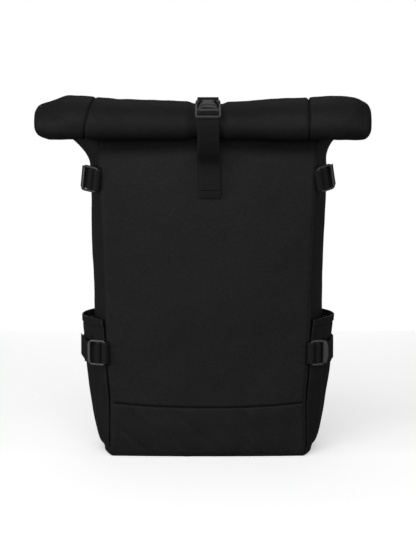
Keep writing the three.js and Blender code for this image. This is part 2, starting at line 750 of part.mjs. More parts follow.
// The padded back: one cushioned panel sewn onto the back cloth, thin at its edges.
function addBackPad() {
  const shares = [1, 0.94, 0.7, 0.42, 0.14, 0, -0.14, -0.42, -0.7, -0.94, -1];
  const rises = [0, 0.03, 0.12, 0.32, 0.54, 0.76, 0.9, 0.97, 1];
  const edge = (value) => Math.min(1, (1 - Math.abs(value)) / 0.3) ** 0.5;
  const layer = (out) => rises.map((rise) => shares.map((share) => {
    const z = mix(padBottom, padTop, rise);
    const channel = 0.45 * Math.exp(-((share / 0.12) ** 2));
    const soft = edge(share) * edge(2 * rise - 1) * (1 - channel);
    return offSkin('back', share * padShare, z, 2 * pieceGap
      + out * (padEdge + (padThickness - padEdge) * soft));
  }));
  addPiece('back_pad', thickSheet(layer(1), layer(0)), meshPadBlack);
}

// A padded shoulder strap, from its seam at the top of the back to its ladder lock.
// Columns: height and reach as shares of their own sizes, spread, width, thickness
const shoulderStations = [
  [0.953, 0.135, 1.00, 0.92, 0.45],
  [0.980, 0.20, 1.00, 0.95, 0.70],
  [1.000, 0.48, 1.02, 0.98, 0.90],
  [0.975, 0.80, 1.05, 1.00, 1.00],
  [0.900, 0.97, 1.11, 1.03, 1.00],
  [0.790, 1.00, 1.21, 1.03, 1.00],
  [0.665, 0.99, 1.36, 1.00, 1.00],
  [0.545, 0.92, 1.50, 0.88, 0.85],
  [0.450, 0.80, 1.61, 0.66, 0.50],
];

function shoulderPath(side) {
  const sign = side === 'right' ? 1 : -1;
  return shoulderStations.map(([height, reach, spread]) =>
    vec(sign * spread * shoulderSpread, bodyDepth / 2 + reach * shoulderReach,
      height * shoulderTop));
}

// An oval bar through stations that each have a centre, a width way, a width and a thickness.
function paddedBar(centres, widthWay, widths, thicknesses) {
  const sides = 10;
  const last = centres.length - 1;
  const rings = centres.map((centre, i) => {
    const tangent = centres[Math.min(i + 1, last)].clone().sub(centres[Math.max(i - 1, 0)]);
    const normal = tangent.normalize().clone().cross(widthWay).normalize();
    const way = normal.clone().cross(tangent).normalize();
    return Array.from({ length: sides }, (_, k) => {
      const turn = 2 * Math.PI * (k + 0.5) / sides;
      const wide = Math.sign(Math.cos(turn)) * Math.abs(Math.cos(turn)) ** 0.6;
      const thick = Math.sign(Math.sin(turn)) * Math.abs(Math.sin(turn)) ** 0.7;
      return centre.clone().addScaledVector(way, wide * widths[i] / 2)
        .addScaledVector(normal, thick * thicknesses[i] / 2);
    });
  });
  const points = rings.flat().flatMap((point) => [point.x, point.y, point.z]);
  const faces = [];
  for (let i = 0; i < last; i += 1) {
    for (let k = 0; k < sides; k += 1) {
      const a = i * sides + k;
      const b = i * sides + (k + 1) % sides;
      faces.push(a, b, b + sides, a, b + sides, a + sides);
    }
  }
  for (let k = 1; k < sides - 1; k += 1) {
    faces.push(0, k + 1, k);
    faces.push(last * sides, last * sides + k, last * sides + k + 1);
  }
  const geometry = new THREE.BufferGeometry();
  geometry.setAttribute('position', new THREE.Float32BufferAttribute(points, 3));
  geometry.setIndex(faces);
  return geometry;
}

function addShoulderStrap(side) {
  const sign = side === 'right' ? 1 : -1;
  const path = shoulderPath(side);
  const widths = shoulderStations.map((row) => row[3] * shoulderWidth);
  const thicknesses = shoulderStations.map((row) => row[4] * shoulderThickness);
  addPiece(`shoulder_strap_${side}`,
    paddedBar(path, vec(1, 0, 0), widths, thicknesses), fabricBlack);

  const end = path[path.length - 1];
  const root = offSkin('back', sign * 0.82, shoulderRootHeight, webbingSeat + 2 * strapEase);
  const down = root.clone().sub(end).normalize();
  const out = down.clone().cross(vec(sign, 0, 0)).normalize();
  if (out.y < 0) out.negate();
  const across = out.clone().cross(down).normalize();
  const place = end.clone().addScaledVector(down, 5.5).addScaledVector(out, -0.4);
  const frame = new THREE.Matrix4().makeBasis(down, across, out).setPosition(place);
  const lock = addPiece(`shoulder_lock_${side}`, lockGeometry(), plasticBlack);
  lock.applyMatrix4(frame);

  const edge = shoulderThickness * 0.25 + pieceGap;
  const loopPoints = [[-6.5, over + edge], [0, over], ...endLoop, [-6.5, under - edge]]
    .map((at) => placed(frame, at));
  const threaded = threadedIn.map((at) => placed(frame, at));
  addPiece(`shoulder_loop_${side}`,
    ribbon(loopPoints, across, webbingWidth, webbingThickness), webbingBlack);

  const first = threaded[0];
  const route = [0, 0.12, 0.4, 0.7].map((share) => {
    const point = root.clone().lerp(first, share);
    return point.add(vec(0, 5 * Math.sin(Math.PI * share), 0));
  });
  const tail = [0.3, 0.65, 1].map((share) => placed(frame, [
    lockLength + 1 + strapTail * share, under + 10 * share ** 1.5,
  ]));
  addPiece(`shoulder_webbing_${side}`,
    ribbon([...route, ...threaded, ...tail], across, webbingWidth, webbingThickness),
    webbingBlack);
}

// The grab handle: a webbing loop sewn flat at both ends across the top of the back.
function addGrabHandle() {
  const foot = 9;
  const half = handleSpan / 2;
  const seatHeight = handleHeight - handleWebbing / 2;
  const seat = (x) => offSkin('back', x / bodyLevel(seatHeight).back, seatHeight, webbingSeat * 2).y;
  const arch = [-1, -0.86, -0.6, -0.3, 0, 0.3, 0.6, 0.86, 1].map((share) => {
    const x = share * (half - foot);
    return vec(x, seat(x) + handleRise * (1 - share ** 2) ** 0.6, handleHeight);
  });
  const [leftEnd, rightEnd] = [-half, half].map((x) => vec(x, seat(x), handleHeight));
  addPiece('grab_handle', ribbon([leftEnd, ...arch, rightEnd], vec(0, 0, 1), handleWebbing,
    webbingThickness * 1.6), webbingBlack);
}

addBodyPanels();
addBasePanel();
addRolledTop();
addPocket('left');
addPocket('right');
addBuckle();
addFrontStrap();
addRollStrap();
sideStraps.forEach(addSideStrap);
addBackPad();
addShoulderStrap('left');
addShoulderStrap('right');
addGrabHandle();

export default pack;
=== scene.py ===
# A black rolltop backpack, standing on its base with its top rolled forward and buckled.
# Metres, +Z up, the front facing -Y.
import math

import bpy
import numpy as np
from mathutils import Matrix, Vector


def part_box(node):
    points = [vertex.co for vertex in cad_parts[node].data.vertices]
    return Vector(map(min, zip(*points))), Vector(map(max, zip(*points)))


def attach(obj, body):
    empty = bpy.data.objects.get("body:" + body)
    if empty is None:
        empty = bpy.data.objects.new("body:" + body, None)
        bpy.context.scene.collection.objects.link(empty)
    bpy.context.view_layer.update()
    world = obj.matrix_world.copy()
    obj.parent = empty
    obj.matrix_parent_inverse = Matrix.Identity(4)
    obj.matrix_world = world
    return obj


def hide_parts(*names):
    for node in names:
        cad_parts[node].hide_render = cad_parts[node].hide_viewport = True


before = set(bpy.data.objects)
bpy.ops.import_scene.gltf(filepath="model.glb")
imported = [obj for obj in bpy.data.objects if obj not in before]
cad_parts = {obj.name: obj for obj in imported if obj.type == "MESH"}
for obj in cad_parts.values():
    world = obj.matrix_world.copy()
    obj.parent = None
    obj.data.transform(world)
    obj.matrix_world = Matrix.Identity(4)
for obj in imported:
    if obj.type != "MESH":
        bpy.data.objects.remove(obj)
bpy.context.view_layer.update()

mm = 0.001

# The camera stands in front of the pack and a little above it, with a long lens. One pixel of a
# 416 by 555 picture shows 1.25 mm of the front panel.
picture_rows = 555
pixel_size = 1.25 * mm
picture_height = picture_rows * pixel_size
panel_bulge = 7 * mm
front_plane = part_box("front_panel")[0].y + panel_bulge
eye_distance = 2.33
eye_elevation = math.radians(5)
aim_height = 227 * mm
aim = Vector((0.0, front_plane, aim_height))
film = 36

lens_data = bpy.data.cameras.new("studio_camera")
lens_data.sensor_fit = "AUTO"
lens_data.sensor_width = film
lens_data.lens = film * eye_distance / picture_height
lens_data.clip_end = 50
studio_camera = bpy.data.objects.new("studio_camera", lens_data)
eye_way = Vector((0.0, -math.cos(eye_elevation), math.sin(eye_elevation)))
studio_camera.location = aim + eye_way * eye_distance
studio_camera.rotation_euler = (-eye_way).to_track_quat("-Z", "Y").to_euler()
bpy.context.scene.collection.objects.link(studio_camera)
bpy.context.scene.camera = studio_camera
bpy.context.scene.view_settings.view_transform = "Standard"


# The sewn body is a hollow bag of matt black coated cloth: a front, two sides, a back and a base
# with a riser, sewn edge to edge and turned, so that every seam lies in a small valley with the
# cloth puckered beside it. Above the roll line the sides fold in towards the flat neck.
cloth_thickness = 1.6 * mm
neck_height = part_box("front_panel")[1].z
front_width = 270 * mm
side_width = 300 * mm
back_width = 300 * mm
neck_width = 2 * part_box("side_panel_right")[1].x
body_depth = 142 * mm
front_crown = 6 * mm
back_crown = 4 * mm
base_seam_height = 68.7 * mm
base_seam_sag = 5.7 * mm
base_seam_dip = 0.35
neck_set_forward = 32.3 * mm
sheet_thickness = 2 * cloth_thickness + 0.4 * mm
neck_front = -neck_set_forward - sheet_thickness / 2
neck_back = -neck_set_forward + sheet_thickness / 2
bottom_level = cloth_thickness + 0.3 * mm
seam_valley = 1.7 * mm
seam_width = 2.3 * mm
seam_line_depth = 1.6 * mm
seam_line_width = 0.9 * mm
pucker_length = 11 * mm
pucker_reach = 9 * mm
pucker_depth = 0.3 * mm
cloth_sway = 1.1 * mm
cloth_crinkle = 0.25 * mm
long_sway = 230 * mm
short_sway = 60 * mm
calm_reach = 18 * mm

# The right side keeps its width a little longer on its way up, and ends short of the neck's edge.
right_fold_lag = 1.6
right_neck_inset = 8 * mm

# Columns: level as a share of the neck's height; half widths of the front, side and back as
# shares of their sizes; spread of the side towards the flat neck; how far the front and the back
# stand out from the neck towards the full depth
body_sections = [
    (0.000, 0.892, 0.874, 0.800, 0.00, 0.800, 0.911),
    (0.007, 0.904, 0.892, 0.822, 0.00, 0.860, 0.940),
    (0.019, 0.910, 0.905, 0.840, 0.00, 0.905, 0.960),
    (0.070, 0.904, 0.928, 0.880, 0.00, 0.960, 0.985),
    (0.157, 0.897, 0.948, 0.928, 0.00, 1.000, 1.000),
    (0.256, 0.920, 0.968, 0.957, 0.00, 1.020, 1.000),
    (0.395, 0.940, 0.973, 0.973, 0.00, 1.027, 1.000),
    (0.535, 0.955, 0.980, 0.987, 0.00, 1.010, 1.000),
    (0.674, 0.972, 0.986, 1.000, 0.00, 0.985, 1.000),
    (0.790, 0.993, 1.000, 1.005, 0.00, 0.930, 0.993),
    (0.849, 1.004, 1.005, 1.000, 0.00, 0.850, 0.970),
    (0.879, 1.007, 1.000, 0.997, 0.08, 0.790, 0.945),
    (0.907, 1.009, 1.000, 0.993, 0.24, 0.650, 0.870),
    (0.930, 1.012, 1.000, 0.990, 0.42, 0.430, 0.734),
    (0.949, 1.015, 1.000, 0.987, 0.58, 0.220, 0.547),
    (0.967, 1.019, 1.000, 0.981, 0.76, 0.070, 0.330),
    (0.986, 1.022, 1.000, 0.975, 0.89, 0.020, 0.120),
    (1.000, 1.022, 1.000, 0.970, 1.00, 0.000, 0.000),
]


def mix(a, b, share):
    return a + (b - a) * share


def unit(vectors):
    return vectors / np.maximum(np.linalg.norm(vectors, axis=-1, keepdims=True), 1e-12)


def smooth_rows(table, at):
    """Reads a table by its first column, on smooth curves that keep between its rows."""
    table = np.array(table, float)
    places, rows = table[:, 0], table[:, 1:]
    at = np.clip(np.asarray(at, float), places[0], places[-1])
    gaps = np.diff(places)[:, None]
    slopes = np.diff(rows, axis=0) / gaps
    product = slopes[:-1] * slopes[1:]
    total = slopes[:-1] + slopes[1:]
    inner = np.where(product > 0, 2 * product / np.where(total == 0, 1, total), 0)
    tangents = np.concatenate([slopes[:1], inner, slopes[-1:]])
    i = np.clip(np.searchsorted(places, at, side="right") - 1, 0, len(places) - 2)
    gap = gaps[i]
    t = (at - places[i])[..., None] / gap
    rise = t * t * (3 - 2 * t)
    return (mix(rows[i], rows[i + 1], rise) + gap * tangents[i] * t * (1 - t) ** 2
            - gap * tangents[i + 1] * t * t * (1 - t))


def skin(face, share, z):
    """A point of the bag's outside. On the front and back, share runs from -1 to 1 with x; on a
    side it runs from 0 at the front corner, over the middle fold, to 1 at the back corner."""
    share, z = np.broadcast_arrays(np.asarray(share, float), np.asarray(z, float))
    level = np.moveaxis(smooth_rows(body_sections, z / neck_height), -1, 0)
    front, side, back, spread, front_out, back_out = level
    front = front * front_width / 2
    neck_half = neck_width / 2
    if face == "right":
        spread = spread ** right_fold_lag
        neck_half = neck_half - right_neck_inset
    side = mix(side * side_width / 2, neck_half, spread)
    back = back * back_width / 2
    front_y = mix(neck_front, -body_depth / 2, front_out)
    back_y = mix(neck_back, body_depth / 2, back_out)
    if face == "front":
        bulge = front_crown * np.clip(front_out, 0, 1) * (1 - spread)
        return np.stack([share * front, front_y - bulge * (1 - share ** 2), z], -1)
    if face == "back":
        bulge = back_crown * np.clip(back_out, 0, 1) * (1 - spread)
        return np.stack([share * back, back_y + bulge * (1 - share ** 2), z], -1)
    round_way = 4 * share * (1 - share)
    tent_way = 1 - np.abs(2 * share - 1)
    out = side - (front + back) / 2
    x = mix(front, back, share) + out * mix(round_way, tent_way, spread)
    turn = 2 * share - 1
    along = 0.5 + 0.5 * np.sign(turn) * np.abs(turn) ** mix(1, 0.04, spread ** 3)
    y = mix(front_y, back_y, along)
    return np.stack([x if face == "right" else -x, y, z], -1)


outside_ways = {"front": (0, -1, 0), "back": (0, 1, 0), "right": (1, 0, 0), "left": (-1, 0, 0)}


def skin_normal(face, share, z):
    sideways = skin(face, share + 0.01, z) - skin(face, share - 0.01, z)
    upwards = skin(face, share, z + mm) - skin(face, share, z - mm)
    normal = unit(np.cross(sideways, upwards))
    facing = normal @ np.array(outside_ways[face], float)
    return normal * np.where(facing < 0, -1, 1)[..., None]


def off_skin(face, share, z, out):
    share, z, out = np.broadcast_arrays(*(np.asarray(v, float) for v in (share, z, out)))
    return skin(face, share, z) + skin_normal(face, share, z) * out[..., None]


def sway(u, v, seed, longest, waves=9):
    """Slow uneven waves, from -1 to 1, as cloth takes that was folded and has hung."""
    dice = np.random.default_rng(seed)
    total = np.zeros(np.broadcast(u, v).shape)
    for _ in range(waves):
        turn = dice.uniform(0, math.pi)
        length = longest * dice.uniform(0.35, 1)
        phase = dice.uniform(0, 2 * math.pi)
        total += np.sin(2 * math.pi * (u * math.cos(turn) + v * math.sin(turn)) / length + phase)
    return total / waves ** 0.5 / 1.6


def seam_dip(away, along, seed):
    """How deep cloth lies beside a seam, at a distance from it and a place along it."""
    valley = -seam_valley * np.exp(-(away / seam_width) ** 2)
    uneven = along + 4 * mm * sway(along, 0 * along, seed, 60 * mm)
    pucker = np.sin(2 * math.pi * uneven / pucker_length)
    strength = 0.5 + 0.5 * sway(along, 0 * along, seed + 1, 90 * mm)
    return valley + pucker_depth * pucker * strength * np.exp(-away / pucker_reach)


def seam_line(away):
    """The sharp fold right at a seam, where the cloth turns in to its stitches."""
    return -seam_line_depth * np.exp(-(away / seam_line_width) ** 2)


def running_total(steps):
    return np.concatenate([[0], np.cumsum(steps)])


def arc_places(grid):
    """Where each point of a grid lies in the flat cloth: metres across and metres up."""
    across = np.linalg.norm(np.diff(grid, axis=1), axis=-1).mean(axis=0)
    upward = np.linalg.norm(np.diff(grid, axis=0), axis=-1).mean(axis=1)
    u = running_total(across)[None, :]
    v = running_total(upward)[:, None]
    return np.stack(np.broadcast_arrays(u, v), -1)


def round_ends(outer, inner, places):
    """Rounds the first and last rows of a thick sheet, as a turned or sealed edge is."""
    layers = [[], []]
    for end, beside, turns in ((0, 1, (75, 40)), (-1, -2, (40, 75))):
        middle = (outer[end] + inner[end]) / 2
        half = (outer[end] - inner[end]) / 2
        way = unit(middle - (outer[beside] + inner[beside]) / 2)
        reach = way * np.linalg.norm(half, axis=-1, keepdims=True)
        for side, layer in ((1, layers[0]), (-1, layers[1])):
            layer.append([middle + side * half * math.cos(math.radians(a))
                          + reach * math.sin(math.radians(a)) for a in turns])
    return tuple(np.concatenate([layer[0], grid, layer[1]])
                 for layer, grid in zip(layers, (outer, inner))) + (
        np.concatenate([places[:1]] * 2 + [places] + [places[-1:]] * 2),)


def grid_faces(rows, columns, start=0):
    corner = (np.arange(rows - 1)[:, None] * columns + np.arange(columns - 1)).ravel() + start
    return np.stack([corner, corner + 1, corner + 1 + columns, corner + columns], -1)


def thick_form(outer, inner, places):
    """The closed body between two grids of points, with all its edges rounded."""
    outer, inner, places = round_ends(outer, inner, places)
    flipped = round_ends(*(grid.swapaxes(0, 1) for grid in (outer, inner, places)))
    outer, inner, places = (grid.swapaxes(0, 1) for grid in flipped)
    rows, columns = outer.shape[:2]
    count = rows * columns
    ids = np.arange(count).reshape(rows, columns)
    rim = np.concatenate([ids[0, :-1], ids[:-1, -1], ids[-1, :0:-1], ids[:0:-1, 0]])
    after = np.roll(rim, -1)
    faces = np.concatenate([
        grid_faces(rows, columns),
        grid_faces(rows, columns, count)[:, ::-1],
        np.stack([after, rim, rim + count, after + count], -1),
    ])
    points = np.concatenate([outer.reshape(-1, 3), inner.reshape(-1, 3)])
    return points, faces, np.concatenate([places.reshape(-1, 2)] * 2)


def wall_form(face, share, z, raised):
    """A wall of cloth that follows the bag, with its outside raised off the bag's skin."""
    outer = off_skin(face, share, z, raised)
    inner = off_skin(face, share, z, raised - cloth_thickness)
    return thick_form(outer, inner, arc_places(outer))


def join_forms(*forms):
    starts = np.cumsum([0] + [len(form[0]) for form in forms])
    return (np.concatenate([form[0] for form in forms]),
            np.concatenate([form[1] + start for form, start in zip(forms, starts)]),
            np.concatenate([form[2] for form in forms]))


def facing_out(points, faces):
    a, b, c, d = (points[faces[:, k]] for k in range(4))
    volume = np.sum(a * np.cross(b, c)) + np.sum(a * np.cross(c, d))
    return faces if volume > 0 else faces[:, ::-1]


def make_piece(name, form, finish, slot, *nodes):
    """Adds one named piece from its points, four-sided faces and places in the flat cloth."""
    points, faces, places = form
    faces = facing_out(points, faces)
    mesh = bpy.data.meshes.new(name)
    mesh.from_pydata(points.tolist(), [], faces.tolist())
    layer = mesh.uv_layers.new(name="flat_cloth")
    corners = np.empty(len(mesh.loops), dtype=np.int32)
    mesh.loops.foreach_get("vertex_index", corners)
    layer.data.foreach_set("uv", places[corners].ravel())
    mesh.materials.append(finish)
    mesh.shade_smooth()
    piece = bpy.data.objects.new(name, mesh)
    bpy.context.scene.collection.objects.link(piece)
    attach(piece, "root")
    if nodes:
        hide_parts(*nodes)
    return piece


class Strand:
    """A socket in a finish's node tree. Sums and products of strands add their Math nodes."""

    def __init__(self, tree, socket=None):
        self.tree = tree
        self.socket = socket

    def node(self, kind, settings=None, sockets=None, output=0):
        made = self.tree.nodes.new("ShaderNode" + kind)
        for name, value in (settings or {}).items():
            setattr(made, name, value)
        for name, value in (sockets or {}).items():
            if isinstance(value, Strand):
                self.tree.links.new(value.socket, made.inputs[name])
            else:
                made.inputs[name].default_value = value
        return Strand(self.tree, made.outputs[output])

    def maths(self, operation, *values):
        return self.node("Math", {"operation": operation}, dict(enumerate(values)))

    def __add__(self, other):
        return self.maths("ADD", self, other)

    def __sub__(self, other):
        return self.maths("SUBTRACT", self, other)

    def __rsub__(self, other):
        return self.maths("SUBTRACT", other, self)

    def __mul__(self, other):
        return self.maths("MULTIPLY", self, other)

    __radd__ = __add__
    __rmul__ = __mul__

    def sine(self):
        return self.maths("SINE", self)

    def size(self):
        return self.maths("ABSOLUTE", self)

    def above(self, edge, soft):
        """0 below an edge and 1 above it, with a soft step between."""
        sockets = {"Value": self, "From Min": edge - soft, "From Max": edge + soft}
        return self.node("MapRange", {"interpolation_type": "SMOOTHSTEP"}, sockets)

    def noise(self, scale, detail):
        sockets = {"Vector": self, "Scale": scale, "Detail": detail}
        return self.node("TexNoise", None, sockets)

    def tint(self, dark, light):
        """A colour between two, for a value from 0 to 1."""
        sockets = {0: self, 6: (*dark, 1), 7: (*light, 1)}
        return self.node("Mix", {"data_type": "RGBA"}, sockets, output=2)


def start_finish(name, specular):
    """A new finish: its material, the strand that its maths starts from, and its shader."""
    material = bpy.data.materials.new(name)
    material.use_nodes = True
    shader = material.node_tree.nodes["Principled BSDF"]
    shader.inputs["Specular IOR Level"].default_value = specular
    return material, Strand(material.node_tree), shader


def end_finish(shader, colour, roughness, height, depth):
    """Links a finish's colour, roughness and surface height, given in depths of so many metres."""
    strand = colour
    bump = strand.node("Bump", None, {"Strength": 1.0, "Distance": depth, "Height": height})
    for name, value in (("Base Color", colour), ("Roughness", roughness), ("Normal", bump)):
        strand.tree.links.new(value.socket, shader.inputs[name])


def flat_places(strand):
    """Strands for a point's place in the flat cloth: metres across and metres up."""
    flat = strand.node("UVMap", {"uv_map": "flat_cloth"})
    return [strand.node("SeparateXYZ", None, {"Vector": flat}, output=way) for way in (0, 1)]


def cloth_finish(name, dark, light, thread):
    """Plain-woven polyester: round threads that go over and under, slubs and soft creases."""
    material, strand, shader = start_finish(name, specular=0.06)
    across, upward = flat_places(strand)
    turn = math.pi / thread
    weave = (across * turn).sine() * (upward * turn).sine()
    place = strand.node("TexCoord", output=3)
    slub = place.noise(900.0, 2.0)
    mottle = place.noise(260.0, 3.0)
    cloud = place.noise(22.0, 2.0)
    crease = place.noise(70.0, 4.0)
    # The weave also tints the colour, lighter on the thread crowns and darker between them:
    # painted shade, beside the cloth's own slubs and uneven tone.
    shade = mottle * 0.45 + slub * 1.3 + cloud * 0.3 + weave * 0.18 - 0.55
    height = weave * 0.5 + slub * 0.5 + mottle * 0.8 + crease * 1.6
    end_finish(shader, shade.tint(dark, light), 0.52 + (cloud - 0.5) * 0.1, height, 0.06 * mm)
    return material


pack_cloth = cloth_finish("pack_cloth", (0.0070, 0.0070, 0.0074), (0.0200, 0.0200, 0.0207),
                          thread=0.55 * mm)


def make_cloth(name, form, *nodes):
    return make_piece(name, form, pack_cloth, "pack_cloth", *nodes)


def base_seam(share):
    return base_seam_height - base_seam_sag * (1 - share ** 2)


def panel_relief(share, z, half_width, seed, bottom=None):
    """The relief of a wall: slow sways, and a dip, a sharp line and puckers at its seams."""
    x = share * half_width
    away = (1 - np.abs(share)) * half_width
    calm = 1 - np.exp(-away / calm_reach)
    total = seam_dip(away, z, seed) + seam_line(away)
    total = total + cloth_sway * calm * sway(x, z, seed + 3, long_sway)
    total = total + cloth_crinkle * sway(x, z, seed + 5, short_sway)
    if bottom is not None:
        above = z - bottom(share)
        total = total + base_seam_dip * seam_dip(above, x, seed + 7) + seam_line(above)
    return total


# The points of a wall lie closer together beside its seams, by this share of the way to a sine.
seam_crowding = 0.6
front_shares = np.linspace(-1, 1, 141)
front_shares = mix(front_shares, np.sin(front_shares * math.pi / 2), seam_crowding)
side_shares = np.linspace(0, 1, 81)
side_shares = mix(side_shares, (1 - np.cos(side_shares * math.pi)) / 2, seam_crowding)
front_rows = np.linspace(0, 1, 191) ** 1.25
share_grid, row_grid = np.meshgrid(front_shares, front_rows)
height_grid = mix(base_seam(share_grid), neck_height, row_grid)
raised = panel_relief(share_grid, height_grid, front_width / 2, 11, base_seam)
make_cloth("front_cloth", wall_form("front", share_grid, height_grid, raised), "front_panel")

back_rows = np.linspace(bottom_level, neck_height, 171)
share_grid, height_grid = np.meshgrid(np.linspace(-1, 1, 121), back_rows)
raised = panel_relief(share_grid, height_grid, back_width / 2, 31)
make_cloth("back_cloth", wall_form("back", share_grid, height_grid, raised), "back_panel")

share_grid, height_grid = np.meshgrid(side_shares, back_rows)
for side, seed in (("left", 51), ("right", 71)):
    raised = panel_relief(2 * share_grid - 1, height_grid, body_depth / 2, seed)
    make_cloth(f"side_cloth_{side}", wall_form(side, share_grid, height_grid, raised),
               f"side_panel_{side}")


# The base is the flat bottom, with the riser that turns up the front to the curved seam. The
# riser's top edge is turned in and stitched down a little below the seam.
riser_proud = 0.2 * mm
riser_bottom = 1.0 * mm
riser_gap = 0.5 * mm
riser_slack = 0.8 * mm
riser_sway_length = 90 * mm
crease_slope = math.radians(38)
crease_pitch = 31 * mm
crease_start = 15 * mm
crease_width = 4 * mm
crease_depth = 0.9 * mm
crease_run = 120 * mm

share_grid, row_grid = np.meshgrid(front_shares, (1 - np.cos(np.linspace(0, math.pi, 61))) / 2)
height_grid = mix(riser_bottom, base_seam(share_grid) - riser_gap, row_grid)
x_grid = share_grid * front_width / 2
away = (1 - np.abs(share_grid)) * front_width / 2
below = base_seam(share_grid) - height_grid
slanted = x_grid * math.sin(crease_slope) + height_grid * math.cos(crease_slope)
creases = np.exp(-((np.mod(slanted, crease_pitch) - crease_start) / crease_width) ** 2)
raised = (seam_dip(away, height_grid, 91) + base_seam_dip * seam_dip(below, x_grid, 95)
          + seam_line(away) + seam_line(below) + riser_proud
          + riser_slack * sway(x_grid, height_grid, 97, riser_sway_length)
          + crease_depth * creases * sway(x_grid, height_grid, 99, crease_run))
riser_form = wall_form("front", share_grid, height_grid, raised)

# Columns: share of the way from the bottom's middle to its edge, and height of the underside
bottom_rings = np.array([
    (1.000, 1.0 * mm), (0.985, 0.3 * mm), (0.960, 0), (0.900, 0), (0.750, 0), (0.500, 0),
    (0.250, 0), (0.020, 0),
])
edge_shares = np.linspace(-1, 1, 49)[:-1]
corner_shares = np.linspace(0, 1, 25)[:-1]
outline = np.concatenate([skin(face, shares, bottom_level) for face, shares in (
    ("front", edge_shares), ("right", corner_shares),
    ("back", -edge_shares), ("left", 1 - corner_shares))])
outline = np.concatenate([outline, outline[:1]])
centre = outline[:-1].mean(axis=0)
bottom_outer = mix(centre, outline, bottom_rings[:, :1, None])
bottom_outer[..., 2] = bottom_rings[:, 1:]
bottom_inner = bottom_outer + (0, 0, cloth_thickness)
bottom_form = thick_form(bottom_outer, bottom_inner, bottom_outer[..., :2])
make_cloth("base_cloth", join_forms(riser_form, bottom_form), "base_panel")


# Stitches are short slack loops of black thread, a little glossier than the cloth. They lie in
# rows beside the seams and hems.
stitch_length = 1.9 * mm
stitch_pitch = 2.7 * mm
stitch_half = 0.2 * mm

material, strand, shader = start_finish("sewing_thread", specular=0.3)
twist = strand.node("TexCoord", output=3).noise(1500.0, 1.0)
end_finish(shader, twist.tint((0.006, 0.006, 0.0065), (0.020, 0.020, 0.021)),
           0.6 + twist * 0.1, twist, 0.05 * mm)
sewing_thread = material


def stitch_form(points, ways, normals):
    """Small round-ended loops of thread at the points, each lying its own way."""
    sides = 6
    turn = np.arange(sides) * 2 * math.pi / sides
    rings = np.array([(-0.5, 0.35), (-0.36, 1), (0.36, 1), (0.5, 0.35)])
    across = np.cross(ways, normals)
    points = points[:, None, None, :]
    along = ways[:, None, None, :] * (rings[:, 0] * stitch_length)[None, :, None, None]
    wide = across[:, None, None, :] * np.cos(turn)[None, None, :, None]
    tall = normals[:, None, None, :] * np.sin(turn)[None, None, :, None] * 0.8
    body = points + along + (wide + tall) * (rings[:, 1] * stitch_half)[None, :, None, None]
    count = len(body)
    ring = np.arange(sides)
    tube = np.concatenate([
        np.stack([ring, (ring + 1) % sides, (ring + 1) % sides + sides, ring + sides], -1)
        + k * sides for k in range(3)])
    caps = np.array([(0, 1, 2, 3), (0, 3, 4, 5)])
    faces = np.concatenate([tube, caps[:, ::-1], caps + 3 * sides])
    faces = (faces[None] + (np.arange(count) * 4 * sides)[:, None, None]).reshape(-1, 4)
    body = body.reshape(-1, 3)
    return body, faces, body[:, :2] * 0


def stitch_row(face, shares, heights, out):
    """A row of stitches on a wall of the bag, along a line of shares and heights."""
    line = off_skin(face, shares, heights, out)
    reach = running_total(np.linalg.norm(np.diff(line, axis=0), axis=1))
    at = np.arange(stitch_pitch, reach[-1] - stitch_pitch / 2, stitch_pitch)
    share_at = np.interp(at, reach, shares)
    height_at = np.interp(at, reach, heights)
    points = off_skin(face, share_at, height_at, np.interp(at, reach, out))
    ways = np.gradient(points, axis=0)
    return stitch_form(points, unit(ways), skin_normal(face, share_at, height_at))


def make_stitches(name, form):
    return make_piece(name, form, sewing_thread, "webbing")


riser_stitches_away = 2.6 * mm
seam_shares = np.linspace(-0.985, 0.985, 160)
seam_x = seam_shares * front_width / 2
riser_line = base_seam(seam_shares) - riser_stitches_away
riser_out = (riser_proud + base_seam_dip * seam_dip(np.full(160, riser_stitches_away), seam_x, 95)
             + riser_slack * sway(seam_x, riser_line, 97, riser_sway_length))
make_stitches("riser_stitches", stitch_row("front", seam_shares, riser_line, riser_out))


# The side pockets are single bulged walls of the same cloth over the sides, open at the top,
# with a turned hem that stands a little proud and is stitched along its lower edge.
pocket_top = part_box("side_pocket_left")[1].z
pocket_bottom = 12 * mm
pocket_bulge = 13 * mm
pocket_hem = 9 * mm
hem_edge = pocket_top - pocket_hem
hem_thickening = 0.8 * mm
hem_softness = 0.5 * mm
hem_groove = 0.7 * mm
hem_groove_below = 0.8 * mm
hem_groove_width = 1.1 * mm
hem_stitches_above = 1.6 * mm
pocket_slack = 1.3 * mm
pocket_sway_length = 110 * mm
sewn_reach = 40 * mm
piece_gap = 0.3 * mm
pocket_reach = (0.03, 0.97)
lower_lock_height = 132 * mm

# The lock drags the cloth beside it into slanted ripples, and hangs it in one soft fold below.
drag_depth = 0.9 * mm
drag_pitch = 34 * mm
drag_place = 0.12
drag_reach = 0.16
fold_depth = 3.0 * mm
fold_place = 0.16
fold_reach = 0.07
fold_top = lower_lock_height - 20 * mm


def pocket_rise(z):
    return np.clip((z - pocket_bottom) / (pocket_top - pocket_bottom), 0, 1)


def pocket_out(share, z):
    bulge = np.maximum(0, np.sin(math.pi * share)) ** 0.8
    return pocket_bulge * bulge * pocket_rise(z) ** 0.5


